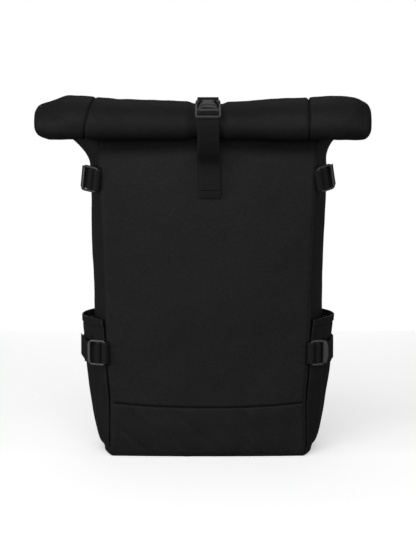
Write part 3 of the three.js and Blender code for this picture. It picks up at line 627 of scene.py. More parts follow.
def pocket_face(share, z, seed):
    """How far the pocket's outside stands off the side panel."""
    depth_way = share * body_depth
    hem = 1 / (1 + np.exp(-(z - hem_edge) / hem_softness))
    groove = -hem_groove * np.exp(-((z - hem_edge + hem_groove_below) / hem_groove_width) ** 2)
    slack = pocket_slack * sway(depth_way, z, seed, pocket_sway_length) * np.sin(math.pi * share)
    drag = drag_depth * np.sin(2 * math.pi * (depth_way * 0.8 - z * 0.35) / drag_pitch)
    drag = drag * pocket_rise(z) * np.exp(-((share - drag_place) / drag_reach) ** 2)
    fold_line = fold_place + 0.5 * (lower_lock_height - z)
    below_lock = 1 / (1 + np.exp((z - fold_top) / (8 * mm)))
    fold = fold_depth * below_lock * np.exp(-((share - fold_line) / fold_reach) ** 2)
    sewn_down = np.clip((z - pocket_bottom) / sewn_reach, 0, 1)
    base = piece_gap + pocket_out(share, z) + cloth_thickness
    return base + (slack + fold) * sewn_down + drag + groove + hem * hem_thickening


share_grid, height_grid = np.meshgrid(np.linspace(*pocket_reach, 91),
                                      np.linspace(pocket_bottom, pocket_top, 121))
hem_shares = np.linspace(0.06, 0.94, 80)
hem_line = np.full(80, hem_edge + hem_stitches_above)
for side, seed in (("left", 111), ("right", 131)):
    raised = pocket_face(share_grid, height_grid, seed)
    make_cloth(f"pocket_cloth_{side}", wall_form(side, share_grid, height_grid, raised),
               f"side_pocket_{side}")
    hem_out = pocket_face(hem_shares, hem_line, seed)
    make_stitches(f"pocket_stitches_{side}", stitch_row(side, hem_shares, hem_line, hem_out))


# The rolled top is the flattened neck, front and back cloths together, wound forward two turns
# into a tilted oval. Its side seams show as valleys round the roll, its ends are pinched, and
# the buckled strap presses it in at the middle.
roll_width = 417 * mm
roll_half = roll_width / 2
roll_shift = -6.5 * mm
roll_length = 30.5 * mm
roll_thickness = 22 * mm
roll_tilt = math.radians(28)
roll_forward = 64 * mm
roll_height = neck_height - 8 * mm
roll_turn_gap = 0.6 * mm
roll_turns = 2.1
roll_start = -20
roll_pin = 70
roll_lift = 20 * mm

# Columns: place along the roll as a share of its half width, and the size of the section there
roll_stations = [
    (-1.000, 0.50), (-0.985, 0.72), (-0.950, 0.90), (-0.890, 1.04), (-0.800, 1.15),
    (-0.640, 1.12), (-0.440, 1.05), (-0.200, 1.00), (0.000, 0.98), (0.200, 0.99),
    (0.440, 1.04), (0.640, 1.10), (0.800, 1.15), (0.900, 1.11), (0.960, 1.00),
    (0.988, 0.82), (1.000, 0.62),
]

# The buckled strap presses the roll in over the buckle's width.
pressed_size = 0.86
buckle_width = 32.5 * mm
press_middle = -2 * roll_shift / roll_width
press_half = buckle_width / roll_width
press_rim = 1.6 * press_half
pressed_stations = sorted(
    [row for row in roll_stations if abs(row[0] - press_middle) > press_rim]
    + [(press_middle + side * press_rim, 0.98) for side in (-1, 1)]
    + [(press_middle + side * press_half, pressed_size) for side in (-1, 1)])


def roll_point(station, angle, out):
    """A point of the rolled sheet: its place along the roll, how far it is wound, and its side."""
    station, angle, out = np.broadcast_arrays(station, angle, out)
    size = smooth_rows(pressed_stations, station)[..., 0]
    wound = angle - roll_start
    inward = (sheet_thickness + roll_turn_gap) * wound / 360
    turn = np.radians(angle)
    pinned = np.clip(wound / roll_pin, 0, 1)
    free = pinned * pinned * (3 - 2 * pinned)
    scale = mix(1, size, free)
    along = (roll_length - inward + out) * np.cos(turn) * scale
    across = (roll_thickness - inward + out) * np.sin(turn) * scale
    swell = np.maximum(0, scale - 1)
    return np.stack([
        station * roll_half + roll_shift * mix(np.clip(station, 0, 1), 1, free),
        -roll_forward - swell * roll_length * math.cos(roll_tilt)
        + along * math.cos(roll_tilt) - across * math.sin(roll_tilt),
        roll_height + along * math.sin(roll_tilt) + across * math.cos(roll_tilt)
        + swell * roll_lift,
    ], -1)


# The left side seam lies slanted round the roll and the right one straight.
left_seam_place = -139 * mm
left_seam_slant = 7 * mm
right_seam_place = 131.5 * mm
groove_width = 0.9 * mm
groove_depth = 2.0 * mm
roll_sway = 0.9 * mm
roll_crinkle = 0.3 * mm
end_pinch = 0.9 * mm
end_reach = 26 * mm
round_the_roll = 26 * mm
roll_step = 6.0

roll_places = np.unique(np.concatenate([
    np.linspace(-1, -0.93, 14), np.linspace(-0.93, 0.93, 130), np.linspace(0.93, 1, 14),
    (left_seam_place + np.linspace(-11, 11, 45) * mm) / roll_half,
    (right_seam_place + np.linspace(-4, 4, 17) * mm) / roll_half]))
roll_angles = np.arange(roll_start, roll_start + roll_turns * 360, roll_step)
station_grid, angle_grid = np.meshgrid(roll_places, roll_angles)
x_grid = station_grid * roll_half
around = np.radians(angle_grid) * round_the_roll
left_seam = left_seam_place + left_seam_slant * np.sin(np.radians(110 - angle_grid))
roll_relief = np.zeros_like(x_grid)
for seam, seed in ((left_seam, 151), (right_seam_place, 161)):
    roll_relief += seam_dip(np.abs(x_grid - seam), around, seed) * 0.5
    roll_relief -= groove_depth * np.exp(-((x_grid - seam) / groove_width) ** 2)
roll_relief += roll_sway * sway(x_grid, around, 171, 150 * mm)
roll_relief += roll_crinkle * sway(x_grid, around, 173, 40 * mm)
end_pull = np.exp(-(1 - np.abs(station_grid)) * roll_half / end_reach)
roll_relief += end_pinch * end_pull * sway(x_grid * 0.5, around * 1.6, 177, 40 * mm)
roll_relief *= np.clip((angle_grid - roll_start) / 60, 0, 1)
roll_outer = roll_point(station_grid, angle_grid, sheet_thickness / 2 + roll_relief)
roll_inner = roll_point(station_grid, angle_grid, -sheet_thickness / 2 + roll_relief)
for layer, neck_y in ((roll_outer, neck_back), (roll_inner, neck_front)):
    layer[0, :, 1:] = (neck_y, neck_height)
make_cloth("rolled_cloth", thick_form(roll_outer, roll_inner, arc_places(roll_outer)),
           "rolled_top")


# The straps are flat woven webbing with fine cross ribs and a firm beaded edge. The side straps
# leave the back seams, cross the sides and double back through ladder locks, whose loops are
# sewn into the front seams.
webbing_width = 25 * mm
webbing_thickness = 1.3 * mm
webbing_seat = webbing_thickness / 2 + piece_gap
rib_pitch = 1.5 * mm
yarn_pitch = 1.1 * mm
edge_width = 1.6 * mm


def webbing_finish(name, dark, light):
    """Woven webbing: cross ribs, yarns that slant between them, and beads along both edges."""
    material, strand, shader = start_finish(name, specular=0.18)
    across, along = flat_places(strand)
    turn = 2 * math.pi / rib_pitch
    ribs = (along * turn).sine() * 0.5 + 0.5
    yarns = (across * (2 * math.pi / yarn_pitch) + ribs * 2.2).sine() * 0.5 + 0.5
    edge = across.size().above(webbing_width / 2 - edge_width, 0.5 * mm)
    beads = (along * (turn * 1.35)).sine() * 0.5 + 0.5
    fuzz = strand.node("TexCoord", output=3).noise(900.0, 2.0)
    height = (ribs * 0.8 + yarns * 0.35) * (1 - edge) + beads * edge * 1.1 + fuzz * 0.4
    # The colour is darker in the grooves between the ribs, in step with their relief: painted
    # shade. The fuzz and the paler edges add to it.
    shade = ribs * 0.35 + fuzz * 0.55 + edge * 0.25 - 0.1
    end_finish(shader, shade.tint(dark, light), 0.72 + fuzz * 0.16, height, 0.3 * mm)
    return material


pack_webbing = webbing_finish("pack_webbing", (0.0040, 0.0040, 0.0043),
                              (0.0150, 0.0150, 0.0158))


def smooth_path(points, step):
    """Fills in a route on a smooth curve through its points. Columns past x, y, z go along."""
    points = np.array(points, float)
    lengths = np.linalg.norm(np.diff(points[:, :3], axis=0), axis=1)
    slopes = np.diff(points, axis=0) / lengths[:, None]
    inner = ((slopes[:-1] * lengths[1:, None] + slopes[1:] * lengths[:-1, None])
             / (lengths[1:] + lengths[:-1])[:, None])
    tangents = np.concatenate([slopes[:1], inner, slopes[-1:]])
    made = []
    for i, length in enumerate(lengths):
        count = max(2, int(math.ceil(length / step)))
        t = (np.arange(count) / count)[:, None]
        rise = t * t * (3 - 2 * t)
        made.append(mix(points[i], points[i + 1], rise) + length * tangents[i] * t * (1 - t) ** 2
                    - length * tangents[i + 1] * t * t * (1 - t))
    made.append(points[-1:])
    return np.concatenate(made)


def ribbon_form(points, ways, width=webbing_width, thickness=webbing_thickness, step=1.4 * mm):
    """A flat strap along a route. ways is how its width lies, once or for each point."""
    points = np.array(points, float)
    ways = np.broadcast_to(np.array(ways, float), points.shape)
    thick = np.broadcast_to(np.array(thickness, float), points.shape[:1])[:, None]
    route = smooth_path(np.concatenate([points, unit(ways), thick], axis=1), step)
    points, ways, thick = route[:, :3], unit(route[:, 3:6]), route[:, 6:]
    tangents = unit(np.gradient(points, axis=0))
    normals = unit(np.cross(tangents, ways))
    shares = np.linspace(-1, 1, 11)
    across = points[:, None] + ways[:, None] * (shares * width / 2)[None, :, None]
    bead = np.where(np.abs(shares) > 0.85, 0.06 * mm, 0)[None, :, None]
    half = thick[:, None] / 2 + bead
    outer = across + normals[:, None] * half
    inner = across - normals[:, None] * half
    reach = running_total(np.linalg.norm(np.diff(points, axis=0), axis=1))
    places = np.stack(np.broadcast_arrays(shares[None] * width / 2, reach[:, None]), -1)
    return thick_form(outer, inner, places)


def make_webbing(name, form, *nodes):
    return make_piece(name, form, pack_webbing, "webbing", *nodes)


# The fittings are satin black moulded plastic, with a fine grain from the mould and a few paler
# scuffs. Their bars have a squarish section with rounded corners.
def plastic_finish(name, dark, light, roughness):
    material, strand, shader = start_finish(name, specular=0.5)
    place = strand.node("TexCoord", output=3)
    grain = place.noise(2600.0, 1.0)
    cloud = place.noise(120.0, 2.0)
    scuffs = place.noise(700.0, 4.0).above(0.63, 0.06)
    end_finish(shader, (cloud * 0.6 + scuffs * 0.5).tint(dark, light),
               roughness + cloud * 0.1 + scuffs * 0.08, grain, 0.03 * mm)
    return material


moulded_plastic = plastic_finish("moulded_plastic", (0.011, 0.011, 0.012),
                                 (0.030, 0.030, 0.032), 0.38)


def make_plastic(name, form, node):
    return make_piece(name, form, moulded_plastic, "moulded_plastic", node)


def squarish(sides, wide_power, tall_power):
    """How far each point round a section lies to the side and up, from -1 to 1."""
    turn = 2 * math.pi * (np.arange(sides) + 0.5) / sides
    return [np.sign(way) * np.abs(way) ** power
            for way, power in ((np.cos(turn), wide_power), (np.sin(turn), tall_power))]


def ring_form(rings, places):
    """A closed body through rings of as many points each, with flat ends."""
    count, sides = rings.shape[:2]
    k = np.arange(sides)
    faces = np.concatenate([
        np.stack([k, (k + 1) % sides, (k + 1) % sides + sides, k + sides], -1) + i * sides
        for i in range(count - 1)])
    half = np.arange(sides // 2 - 1)
    cap = np.stack([half, half + 1, sides - 2 - half, sides - 1 - half], -1)
    faces = np.concatenate([faces, cap[:, ::-1], cap + (count - 1) * sides])
    return rings.reshape(-1, 3), faces, places.reshape(-1, 2)


def swept_form(path, wide, tall, out, closed=False):
    """A moulded bar with a squarish rounded section, along a path or round a closed one."""
    path = np.array(path, float)
    if closed:
        ways = unit(np.roll(path, -1, axis=0) - np.roll(path, 1, axis=0))
    else:
        ways = unit(np.gradient(path, axis=0))
    across = unit(np.cross(out, ways))
    out = np.cross(ways, across)
    sides = 20
    flat, high = squarish(sides, 0.42, 0.42)
    wide = np.broadcast_to(np.array(wide, float), len(path))[:, None, None]
    tall = np.broadcast_to(np.array(tall, float), len(path))[:, None, None]
    rings = (path[:, None] + across[:, None] * flat[None, :, None] * wide / 2
             + out[:, None] * high[None, :, None] * tall / 2)
    if closed:
        rings = np.concatenate([rings, rings[:1]])
    points, faces, places = ring_form(rings, rings[..., :2] * 0)
    end_faces = 2 * (sides // 2 - 1)
    return points, faces[:-end_faces] if closed else faces, places


def placed(turn, form):
    """A form given in a fitting's frame, in the pack's own place."""
    points, faces, places = form
    return points @ turn[:3, :3].T + turn[:3, 3], faces, places


def rounded_outline(near, far, half, near_round, far_round):
    """A flat closed line round a fitting, with its own roundness at each end."""
    points = []
    for x, y, radius, start in ((near, -half, near_round, 180), (far, -half, far_round, 270),
                                (far, half, far_round, 0), (near, half, near_round, 90)):
        middle_x = x + radius if x == near else x - radius
        middle_y = y - math.copysign(radius, y)
        for turn in np.radians(start + np.linspace(0, 90, 9)):
            points.append((middle_x + radius * math.cos(turn), middle_y + radius * math.sin(turn),
                           0))
    return points


# A ladder lock is a rounded frame with a middle bar and a lip, moulded in one. It lies in a frame
# of its own: x from its end bar to its lip, y along the webbing's width, z out of its face. The
# routes of the webbing round its bars are given there too.
lock_length = 27 * mm
lock_width = 32.5 * mm
lock_thickness = 3.2 * mm
end_bar = 3.5 * mm
lock_slot = 5.5 * mm
centre_bar = 4 * mm
slot_one_end = end_bar + lock_slot
slot_two_start = slot_one_end + centre_bar
lock_half = lock_thickness / 2
under = -(lock_half + webbing_seat)
twice_under = under - webbing_thickness - piece_gap
over = -under
corner_room = 0.35 * mm


def thread_bar(near, far, half, way):
    """How webbing goes over a bar: in under it, up past its far side, over it, and out below."""
    low = -(half + webbing_seat)
    twice = low - webbing_thickness - piece_gap
    side = webbing_seat
    corner = half + corner_room
    return [
        (near, twice), (far + way * 0.6 * mm, twice), (far - way * side, -(half + 0.9 * mm)),
        (far - way * side, corner), (far - way * 0.45 * mm, -low),
        (near + way * 0.45 * mm, -low), (near + way * side, corner),
        (near + way * side, 0.6 * mm - half),
        (near + way * (side + 1.2 * mm), -(half + 0.3 * mm)), (near + way * 3.2 * mm, low),
    ]


threaded_in = [(lock_length + 3 * mm, twice_under),
               *thread_bar(slot_two_start, slot_one_end, lock_half, 1),
               (lock_length + mm, under)]
end_loop = [(end_bar + 0.45 * mm, over), (end_bar + webbing_seat, lock_half + corner_room),
            (end_bar + webbing_seat, -lock_half - corner_room), (end_bar + 0.45 * mm, under),
            (0, under)]


def frame_at(place, along, out):
    """The frame of a fitting: its place, its way from end to lip, and the way out of its face."""
    turn = np.eye(4)
    turn[:3, 0] = along
    turn[:3, 1] = np.cross(out, along)
    turn[:3, 2] = out
    turn[:3, 3] = place
    return turn


def in_frame(turn, route):
    """A route given as x and z in a fitting's frame, in the pack's own place."""
    flat = np.array([(x, 0, z, 1) for x, z in route], float)
    return (turn @ flat.T).T[:, :3]


strap_tail = 38 * mm
lock_stand_off = 3.5 * mm
seam_reach = 1.2 * mm
strap_ease = 0.5 * mm
upper_lock_height = roll_height - 74 * mm

# Columns: name, side, height, outward angle, lean of the lock, length of tail, how far the tail
# is pulled up, and the lock's roundness near and far and its lip
side_straps = [
    ("lower_left", "left", lower_lock_height, 30, 0, 0.45, 9 * mm, (3 * mm, 6 * mm, 4 * mm)),
    ("lower_right", "right", lower_lock_height, 30, 0, 0.34, 5 * mm, (3 * mm, 11 * mm, 8 * mm)),
    ("upper_left", "left", upper_lock_height, 42, 8, 0.12, 1 * mm, (3 * mm, 4 * mm, 4 * mm)),
    ("upper_right", "right", upper_lock_height, 42, -12, 0.12, 1 * mm, (3 * mm, 5 * mm, 4 * mm)),
]


def side_frame(side, height, angle, lean):
    sign = 1 if side == "right" else -1
    turn = math.radians(angle)
    along = np.array([sign * math.cos(turn), math.sin(turn), 0])
    out = np.array([sign * math.sin(turn), -math.cos(turn), 0])
    along = np.array(Matrix.Rotation(-math.radians(lean), 3, Vector(out)) @ Vector(along))
    corner = skin(side, 0.0, height)
    return frame_at(corner + along * seam_reach + out * lock_stand_off, along, out)


up = (0, 0, 1)


def lock_form(near_round, far_round, lip):
    """A ladder lock in its own frame: a rounded frame, a middle bar and a lip."""
    rail = 3.0 * mm
    half = lock_width / 2 - rail / 2
    frame_line = rounded_outline(rail / 2, lock_length - rail / 2, half, near_round, far_round)
    middle = (slot_one_end + slot_two_start) / 2
    bar = [(middle, y, 0) for y in np.linspace(-half, half, 12)]
    lip_place = lock_length - lip / 2 - 0.6 * mm
    lip_half = half - (1 - 0.6 * min(lip / (8 * mm), 1)) * mm
    lip_y = np.linspace(-lip_half, lip_half, 24)
    bow = 1 - np.maximum(0, np.abs(lip_y) / lip_half - 0.35) ** 2 * 0.9
    lip_line = [(lip_place - (1 - b) * far_round * 0.5, y, 0.5 * mm) for y, b in zip(lip_y, bow)]
    return join_forms(
        swept_form(frame_line, rail, lock_thickness, up, closed=True),
        swept_form(bar, centre_bar, lock_thickness * 0.8, up),
        swept_form(lip_line, lip * bow, lock_thickness * 0.9, up))


cross_shares = np.array([0.97, 0.86, 0.74, 0.62, 0.5, 0.38])


def cross_line(side, height, over_pocket):
    """Where a side strap lies from the back seam forward, on the side or on the pocket there."""
    pocket = piece_gap + pocket_out(cross_shares, height) + cloth_thickness if over_pocket else 0
    return off_skin(side, cross_shares, height, pocket + webbing_seat + strap_ease)


for name, side, height, angle, lean, tail_share, tail_lift, shape in side_straps:
    turn = side_frame(side, height, angle, lean)
    across = turn[:3, 1]
    make_plastic(f"ladder_lock_{name}", placed(turn, lock_form(*shape)), f"side_lock_{name}")
    loop = [(-seam_reach - 1.4 * mm, -0.9 * mm), (-seam_reach, over), *end_loop,
            (-seam_reach, webbing_seat + piece_gap - lock_stand_off)]
    make_webbing(f"lock_loop_{name}", ribbon_form(in_frame(turn, loop), across, step=0.7 * mm),
                 f"side_loop_{name}")

    low, route, high = (cross_line(side, height + part * webbing_width / 2, height < pocket_top)
                        for part in (-1, 0, 1))
    slopes = (high - low) * np.sign(across[2])
    tail_end = strap_tail * tail_share
    tail = [(lock_length + mm + tail_end * share * (1 - 0.25 * share),
             under - tail_end * 0.25 * share ** 2) for share in (0.25, 0.6, 1)]
    threaded = in_frame(turn, [*threaded_in, *tail])
    threaded[-3:, 2] += np.array([0.25, 0.7, 1]) * tail_lift
    ways = np.concatenate([unit(slopes), np.broadcast_to(across, threaded.shape)])
    make_webbing(f"cross_webbing_{name}",
                 ribbon_form(np.concatenate([route, threaded]), ways, step=1.0 * mm),
                 f"side_strap_{name}")


# The front buckle is a side-release clip and socket of satin black moulded plastic. It lies on
# the roll, in a frame of its own: x from the clip's end bar back to the socket's strap bar.
buckle_overhang = 18 * mm
clip_base_length = 20 * mm
socket_length = 27 * mm
socket_thickness = 9 * mm
clip_thickness = 3.6 * mm
clip_bar = 3.5 * mm
clip_slot = 4.5 * mm
clip_ladder = 3 * mm
socket_bar = 3 * mm
socket_bar_thickness = 4.4 * mm
buckle_length = clip_base_length + socket_length
ladder_middle = clip_bar + clip_slot + clip_ladder / 2
roll_face = (roll_thickness + sheet_thickness / 2) * pressed_size
buckle_along = np.array([0, math.cos(roll_tilt), math.sin(roll_tilt)])
buckle_out = np.array([0, -math.sin(roll_tilt), math.cos(roll_tilt)])
buckle_place = (np.array([0, -roll_forward, roll_height])
                + buckle_out * (roll_face + socket_thickness / 2 + webbing_thickness)
                - buckle_along * (buckle_length / 2 + buckle_overhang))
buckle_frame = frame_at(buckle_place, buckle_along, buckle_out)


# The socket is a domed shell, closed here at both ends, and drawn in at its sides where the
# clip's buttons show. Its mouth is arched.
# Columns: place along the buckle, half width, half height, height of the middle
socket_stations = np.array([
    (22.0, 10.6, 1.6, 0.4), (22.6, 11.4, 2.9, 0.3), (24.5, 12.0, 3.9, 0.1), (28.0, 12.2, 4.4, 0),
    (30.5, 11.4, 4.5, 0), (33.0, 9.4, 4.5, 0), (35.5, 8.5, 4.4, 0), (38.0, 8.7, 4.3, 0),
    (40.5, 9.8, 4.0, -0.1), (43.0, 11.0, 3.4, -0.4), (45.5, 11.2, 2.8, -0.7),
    (46.6, 10.6, 2.2, -0.9), (47.0, 9.6, 1.5, -1.0),
]) * mm
mouth_arch = 2.2 * mm
mouth_half = 12 * mm
mouth_inside = 30 * mm
mouth_reach = 8 * mm

socket_flat, socket_high = squarish(40, 0.5, 0.62)
socket_places = np.linspace(socket_stations[0, 0], socket_stations[-1, 0], 60)
socket_rows = smooth_rows(socket_stations, socket_places)
socket_rings = np.stack(np.broadcast_arrays(
    socket_places[:, None], socket_rows[:, :1] * socket_flat,
    socket_rows[:, 2:] + socket_rows[:, 1:2] * socket_high), -1)
arched = mouth_arch * (1 - (socket_rings[..., 1] / mouth_half) ** 2)
socket_rings[..., 0] += arched * np.clip((mouth_inside - socket_rings[..., 0]) / mouth_reach, 0, 1)
socket_form = ring_form(socket_rings, socket_rings[..., :2] * 0)
make_plastic("buckle_socket_body", placed(buckle_frame, socket_form), "buckle_socket")


# The clip is a rounded frame with a ladder bar, and two arms with buttons at their tips. It is
# moulded in one, and its arms are pushed into the socket until they catch.
clip_rail = 3.2 * mm
clip_side = buckle_width / 2 - clip_rail / 2

# Columns: place of a bar along the buckle, its width, its height
clip_bars = [(ladder_middle, clip_ladder, 2.8 * mm), (19.6 * mm, 4.4 * mm, 2.6 * mm)]

# Columns: place of an arm along the buckle, place to the side, height of its middle
arm_route = np.array([(19 * mm, clip_side, 0), (27 * mm, 14.6 * mm, 0), (34 * mm, 14.2 * mm, 0),
                      (38 * mm, 13.0 * mm, 0.1 * mm), (42 * mm, 12.2 * mm, 0.1 * mm),
                      (45 * mm, 11.6 * mm, 0)])

# Columns: share of the way along an arm, its width or its height there in millimetres
arm_widths = [(0, 3.2), (0.55, 3.2), (0.72, 5.2), (0.90, 5.0), (1, 2.6)]
arm_heights = [(0, 3.4), (0.55, 3.4), (0.72, 5.6), (0.94, 5.2), (1, 3.0)]

clip_line = rounded_outline(clip_rail / 2, clip_base_length, clip_side, 3 * mm, 1.5 * mm)
clip_forms = [swept_form(clip_line, clip_rail, clip_thickness, up, closed=True)]
for place, bar_width, bar_height in clip_bars:
    bar = [(place, y, 0) for y in np.linspace(-clip_side, clip_side, 14)]
    clip_forms.append(swept_form(bar, bar_width, bar_height, up))
for side in (-1, 1):
    arm = smooth_path(arm_route * (1, side, 1), 0.8 * mm)
    reach = np.linspace(0, 1, len(arm))
    width, height = (np.interp(reach, *np.transpose(sizes)) * mm
                     for sizes in (arm_widths, arm_heights))
    clip_forms.append(swept_form(arm, width, height, up))
make_plastic("buckle_clip_frame", placed(buckle_frame, join_forms(*clip_forms)), "buckle_clip")


# The front strap is sewn to the front panel, goes up behind the clip and over its ladder bar,
# and hangs down again in front as a free tail with its end folded and stitched.
front_strap_end = roll_height - 94.5 * mm
front_strap_root = front_strap_end + 9 * mm
strap_lie = 18 * mm
strap_settle = 29 * mm
folded_hem = 10 * mm
strap_drift = 2.4 * mm
clip_half = clip_thickness / 2
clip_low = -(clip_half + webbing_seat)
clip_lower = clip_low - webbing_thickness - piece_gap
ladder_start = clip_bar + clip_slot
layers = webbing_thickness + piece_gap
at_clip = in_frame(buckle_frame, [
    (-2.5 * mm, clip_lower - mm), (clip_bar, clip_lower),
    *thread_bar(ladder_start, ladder_start + clip_ladder, clip_half, -1),
    (-0.5 * mm, clip_low),
])


def on_panel(z, out):
    return off_skin("front", 0.0, z, webbing_seat + out)


foot = on_panel(front_strap_root + strap_settle, 0.3 * mm)
slack = [np.array([0, mix(at_clip[0][1] - mm, foot[1], share ** 1.2),
                   mix(at_clip[0][2] - 3 * mm, foot[2], share)]) for share in (0.3, 0.65)]
rising = [on_panel(front_strap_root, 0), on_panel(front_strap_root + strap_lie, 0), foot,
          *slack[::-1]]
falling = [
    *(point - np.array([0, layers + 0.6 * mm + ease, 0])
      for point, ease in zip(slack, (2 * mm, 4.5 * mm))),
    on_panel(front_strap_root + strap_settle, layers + 6.5 * mm),
    on_panel(front_strap_root + strap_lie, layers + 3.6 * mm),
    on_panel(front_strap_root, layers + 0.8 * mm),
    on_panel(front_strap_end + folded_hem, layers),
    on_panel(front_strap_end + folded_hem - 0.8 * mm, layers),
    on_panel(front_strap_end, layers * 0.8),
]
route = np.array([*rising, *at_clip, *falling])
hung = np.clip((at_clip[0][2] - route[-len(falling):, 2]) / (80 * mm), 0, 1)
route[-len(falling):, 0] += strap_drift * hung
thick = np.full(len(route), webbing_thickness)
thick[-2:] = 2 * webbing_thickness
make_webbing("front_webbing", ribbon_form(route, (1, 0, 0), thickness=thick), "front_strap")

end_stitches = 9
end_stitch_x = np.linspace(-0.42, 0.42, end_stitches) * webbing_width + strap_drift
end_stitch_place = on_panel(front_strap_end + folded_hem, layers + webbing_thickness * 0.62)
end_stitch_points = np.array([(x, end_stitch_place[1] - 0.1 * mm, end_stitch_place[2])
                              for x in end_stitch_x])
make_stitches("strap_end_stitches",
              stitch_form(end_stitch_points, np.tile((1.0, 0, 0), (end_stitches, 1)),
                          np.tile((0, -1.0, 0), (end_stitches, 1))))


# The roll strap is the same webbing. It is sewn to the back of the neck, goes over the roll and
# doubles back round the socket's bar.
socket_half = socket_bar_thickness / 2
socket_low = -(socket_half + webbing_seat)
rear = buckle_length
bar_front = rear - socket_bar
socket_loop = in_frame(buckle_frame, [
    (rear + 0.8 * mm, socket_low - 1.6 * mm), (bar_front + 0.6 * mm, socket_low),
    (bar_front - webbing_seat, -(socket_half + 0.5 * mm)),
    (bar_front - webbing_seat, socket_half + corner_room), (bar_front - 0.45 * mm, -socket_low),
    (rear + 0.45 * mm, -socket_low), (rear + webbing_seat, socket_half + corner_room),
    (rear + 2.6 * mm, -mm), (rear + 5 * mm, -4.5 * mm),
])
strap_rise = np.array([row[0] for row in body_sections[12:17]]) * neck_height
on_back = off_skin("back", 0.0, strap_rise, webbing_seat + strap_ease)
roll_seat = sheet_thickness / 2 + webbing_seat
over_roll = np.array([
    roll_point(0.0, angle, roll_seat + ease)
    for angle, ease in ((-10.0, mm), (6.0, 0.8 * mm), (22.0, 0.8 * mm), (36.0, 0.8 * mm))])
over_roll[:, 0] = 0
make_webbing("roll_webbing",
             ribbon_form(np.concatenate([on_back, over_roll, socket_loop]), (1, 0, 0)),
             "roll_strap")


# The padded back is a foam panel under black spacer mesh, sewn down round its edge, with a
# channel down its middle for air.
pad_thickness = 9 * mm
pad_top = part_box("back_pad")[1].z
pad_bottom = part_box("back_pad")[0].z
pad_share = 0.8
pad_edge = 2 * mm
pad_gap = 2 * piece_gap
pad_crinkle = 0.4 * mm
channel_depth = 0.45
channel_width = 0.12
quilt_lines = (0.26, 0.50, 0.74)
quilt_depth = 0.35
quilt_width = 0.012
mesh_pitch = 3.2 * mm


def spacer_finish(name, dark, light):
    """Spacer mesh: rows of small round holes, each row set half a hole along."""
    material, strand, shader = start_finish(name, specular=0.15)
    across, upward = flat_places(strand)
    turn = 2 * math.pi / mesh_pitch
    first = (across * turn).sine()
    second = (across * (turn / 2) + upward * (turn * 0.866)).sine()
    third = (across * (turn / 2) - upward * (turn * 0.866)).sine()
    holes = (first * second * third).above(0.22, 0.12)
    fuzz = strand.node("TexCoord", output=3).noise(1100.0, 2.0)
    # The holes are coloured near black: painted shade inside them.
    end_finish(shader, ((1 - holes) * 0.7 + fuzz * 0.3).tint(dark, light), 0.85 + fuzz * 0.1,
               1 - holes + fuzz * 0.3, 0.7 * mm)
    return material


pad_mesh = spacer_finish("pad_mesh", (0.0015, 0.0015, 0.0016), (0.0120, 0.0120, 0.0126))


def soft_edge(value):
    return np.minimum(1, (1 - np.abs(value)) / 0.3) ** 0.5


share_grid, rise_grid = np.meshgrid(np.linspace(-1, 1, 121), np.linspace(0, 1, 141))
height_grid = mix(pad_bottom, pad_top, rise_grid)
channel = channel_depth * np.exp(-(share_grid / channel_width) ** 2)
quilt = sum(np.exp(-((rise_grid - line) / quilt_width) ** 2) for line in quilt_lines)
softness = soft_edge(share_grid) * soft_edge(2 * rise_grid - 1) * (1 - channel)
softness = softness * (1 - quilt_depth * quilt * (1 - 0.6 * channel))
pad_raise = pad_edge + (pad_thickness - pad_edge) * softness
pad_raise += pad_crinkle * sway(share_grid * 120 * mm, height_grid, 191, 80 * mm) * softness
pad_outer = off_skin("back", share_grid * pad_share, height_grid, pad_gap + pad_raise)
pad_inner = off_skin("back", share_grid * pad_share, height_grid, pad_gap)
back_cushion = make_piece("back_cushion",
                          thick_form(pad_outer, pad_inner, arc_places(pad_outer)),
                          pad_mesh, "pad_mesh", "back_pad")


# The shoulder straps are foam in the pack's cloth, from the seam at the top of the back to a
# ladder lock each, and plain webbing runs on from there to the bottom corner of the back.
shoulder_width = 62 * mm
shoulder_thickness = 10 * mm
shoulder_top = neck_height - 68 * mm
shoulder_reach = 38 * mm
shoulder_spread = 56 * mm
shoulder_root_height = 30 * mm
shoulder_root_share = 0.82
adjuster_sag = 5 * mm

# Columns: height and reach as shares of their own sizes, spread, width, thickness
shoulder_stations = np.array([
    (0.953, 0.135, 1.00, 0.92, 0.45),
    (0.980, 0.20, 1.00, 0.95, 0.70),
    (1.000, 0.48, 1.02, 0.98, 0.90),
    (0.975, 0.80, 1.05, 1.00, 1.00),
    (0.900, 0.97, 1.11, 1.03, 1.00),
    (0.790, 1.00, 1.21, 1.03, 1.00),
    (0.665, 0.99, 1.36, 1.00, 1.00),
    (0.545, 0.92, 1.50, 0.88, 0.85),
    (0.450, 0.80, 1.61, 0.66, 0.50),
])


def padded_form(stations, way):
    """A soft bar through centres with widths and thicknesses, with its edge seamed all along."""
    route = smooth_path(stations, 3 * mm)
    centres, widths, thicks = route[:, :3], route[:, 3], route[:, 4]
    tangents = unit(np.gradient(centres, axis=0))
    normals = unit(np.cross(tangents, way))
    across = np.cross(normals, tangents)
    wide, tall = squarish(48, 0.6, 0.7)
    groove = 1 - 0.28 * np.exp(-((np.abs(wide) - 0.9) / 0.03) ** 2)
    ring = np.arange(len(centres))
    close = np.minimum(1, np.minimum(ring, ring[::-1]) / 2 + 0.55)
    rings = (centres[:, None]
             + across[:, None] * wide[None, :, None]
             * (widths * mix(0.97, 1, close) / 2)[:, None, None]
             + normals[:, None] * (tall * groove)[None, :, None]
             * (thicks * close / 2)[:, None, None])
    reach = running_total(np.linalg.norm(np.diff(centres, axis=0), axis=1))
    places = np.stack(np.broadcast_arrays(wide * shoulder_width / 2, reach[:, None]), -1)
    return ring_form(rings, places)


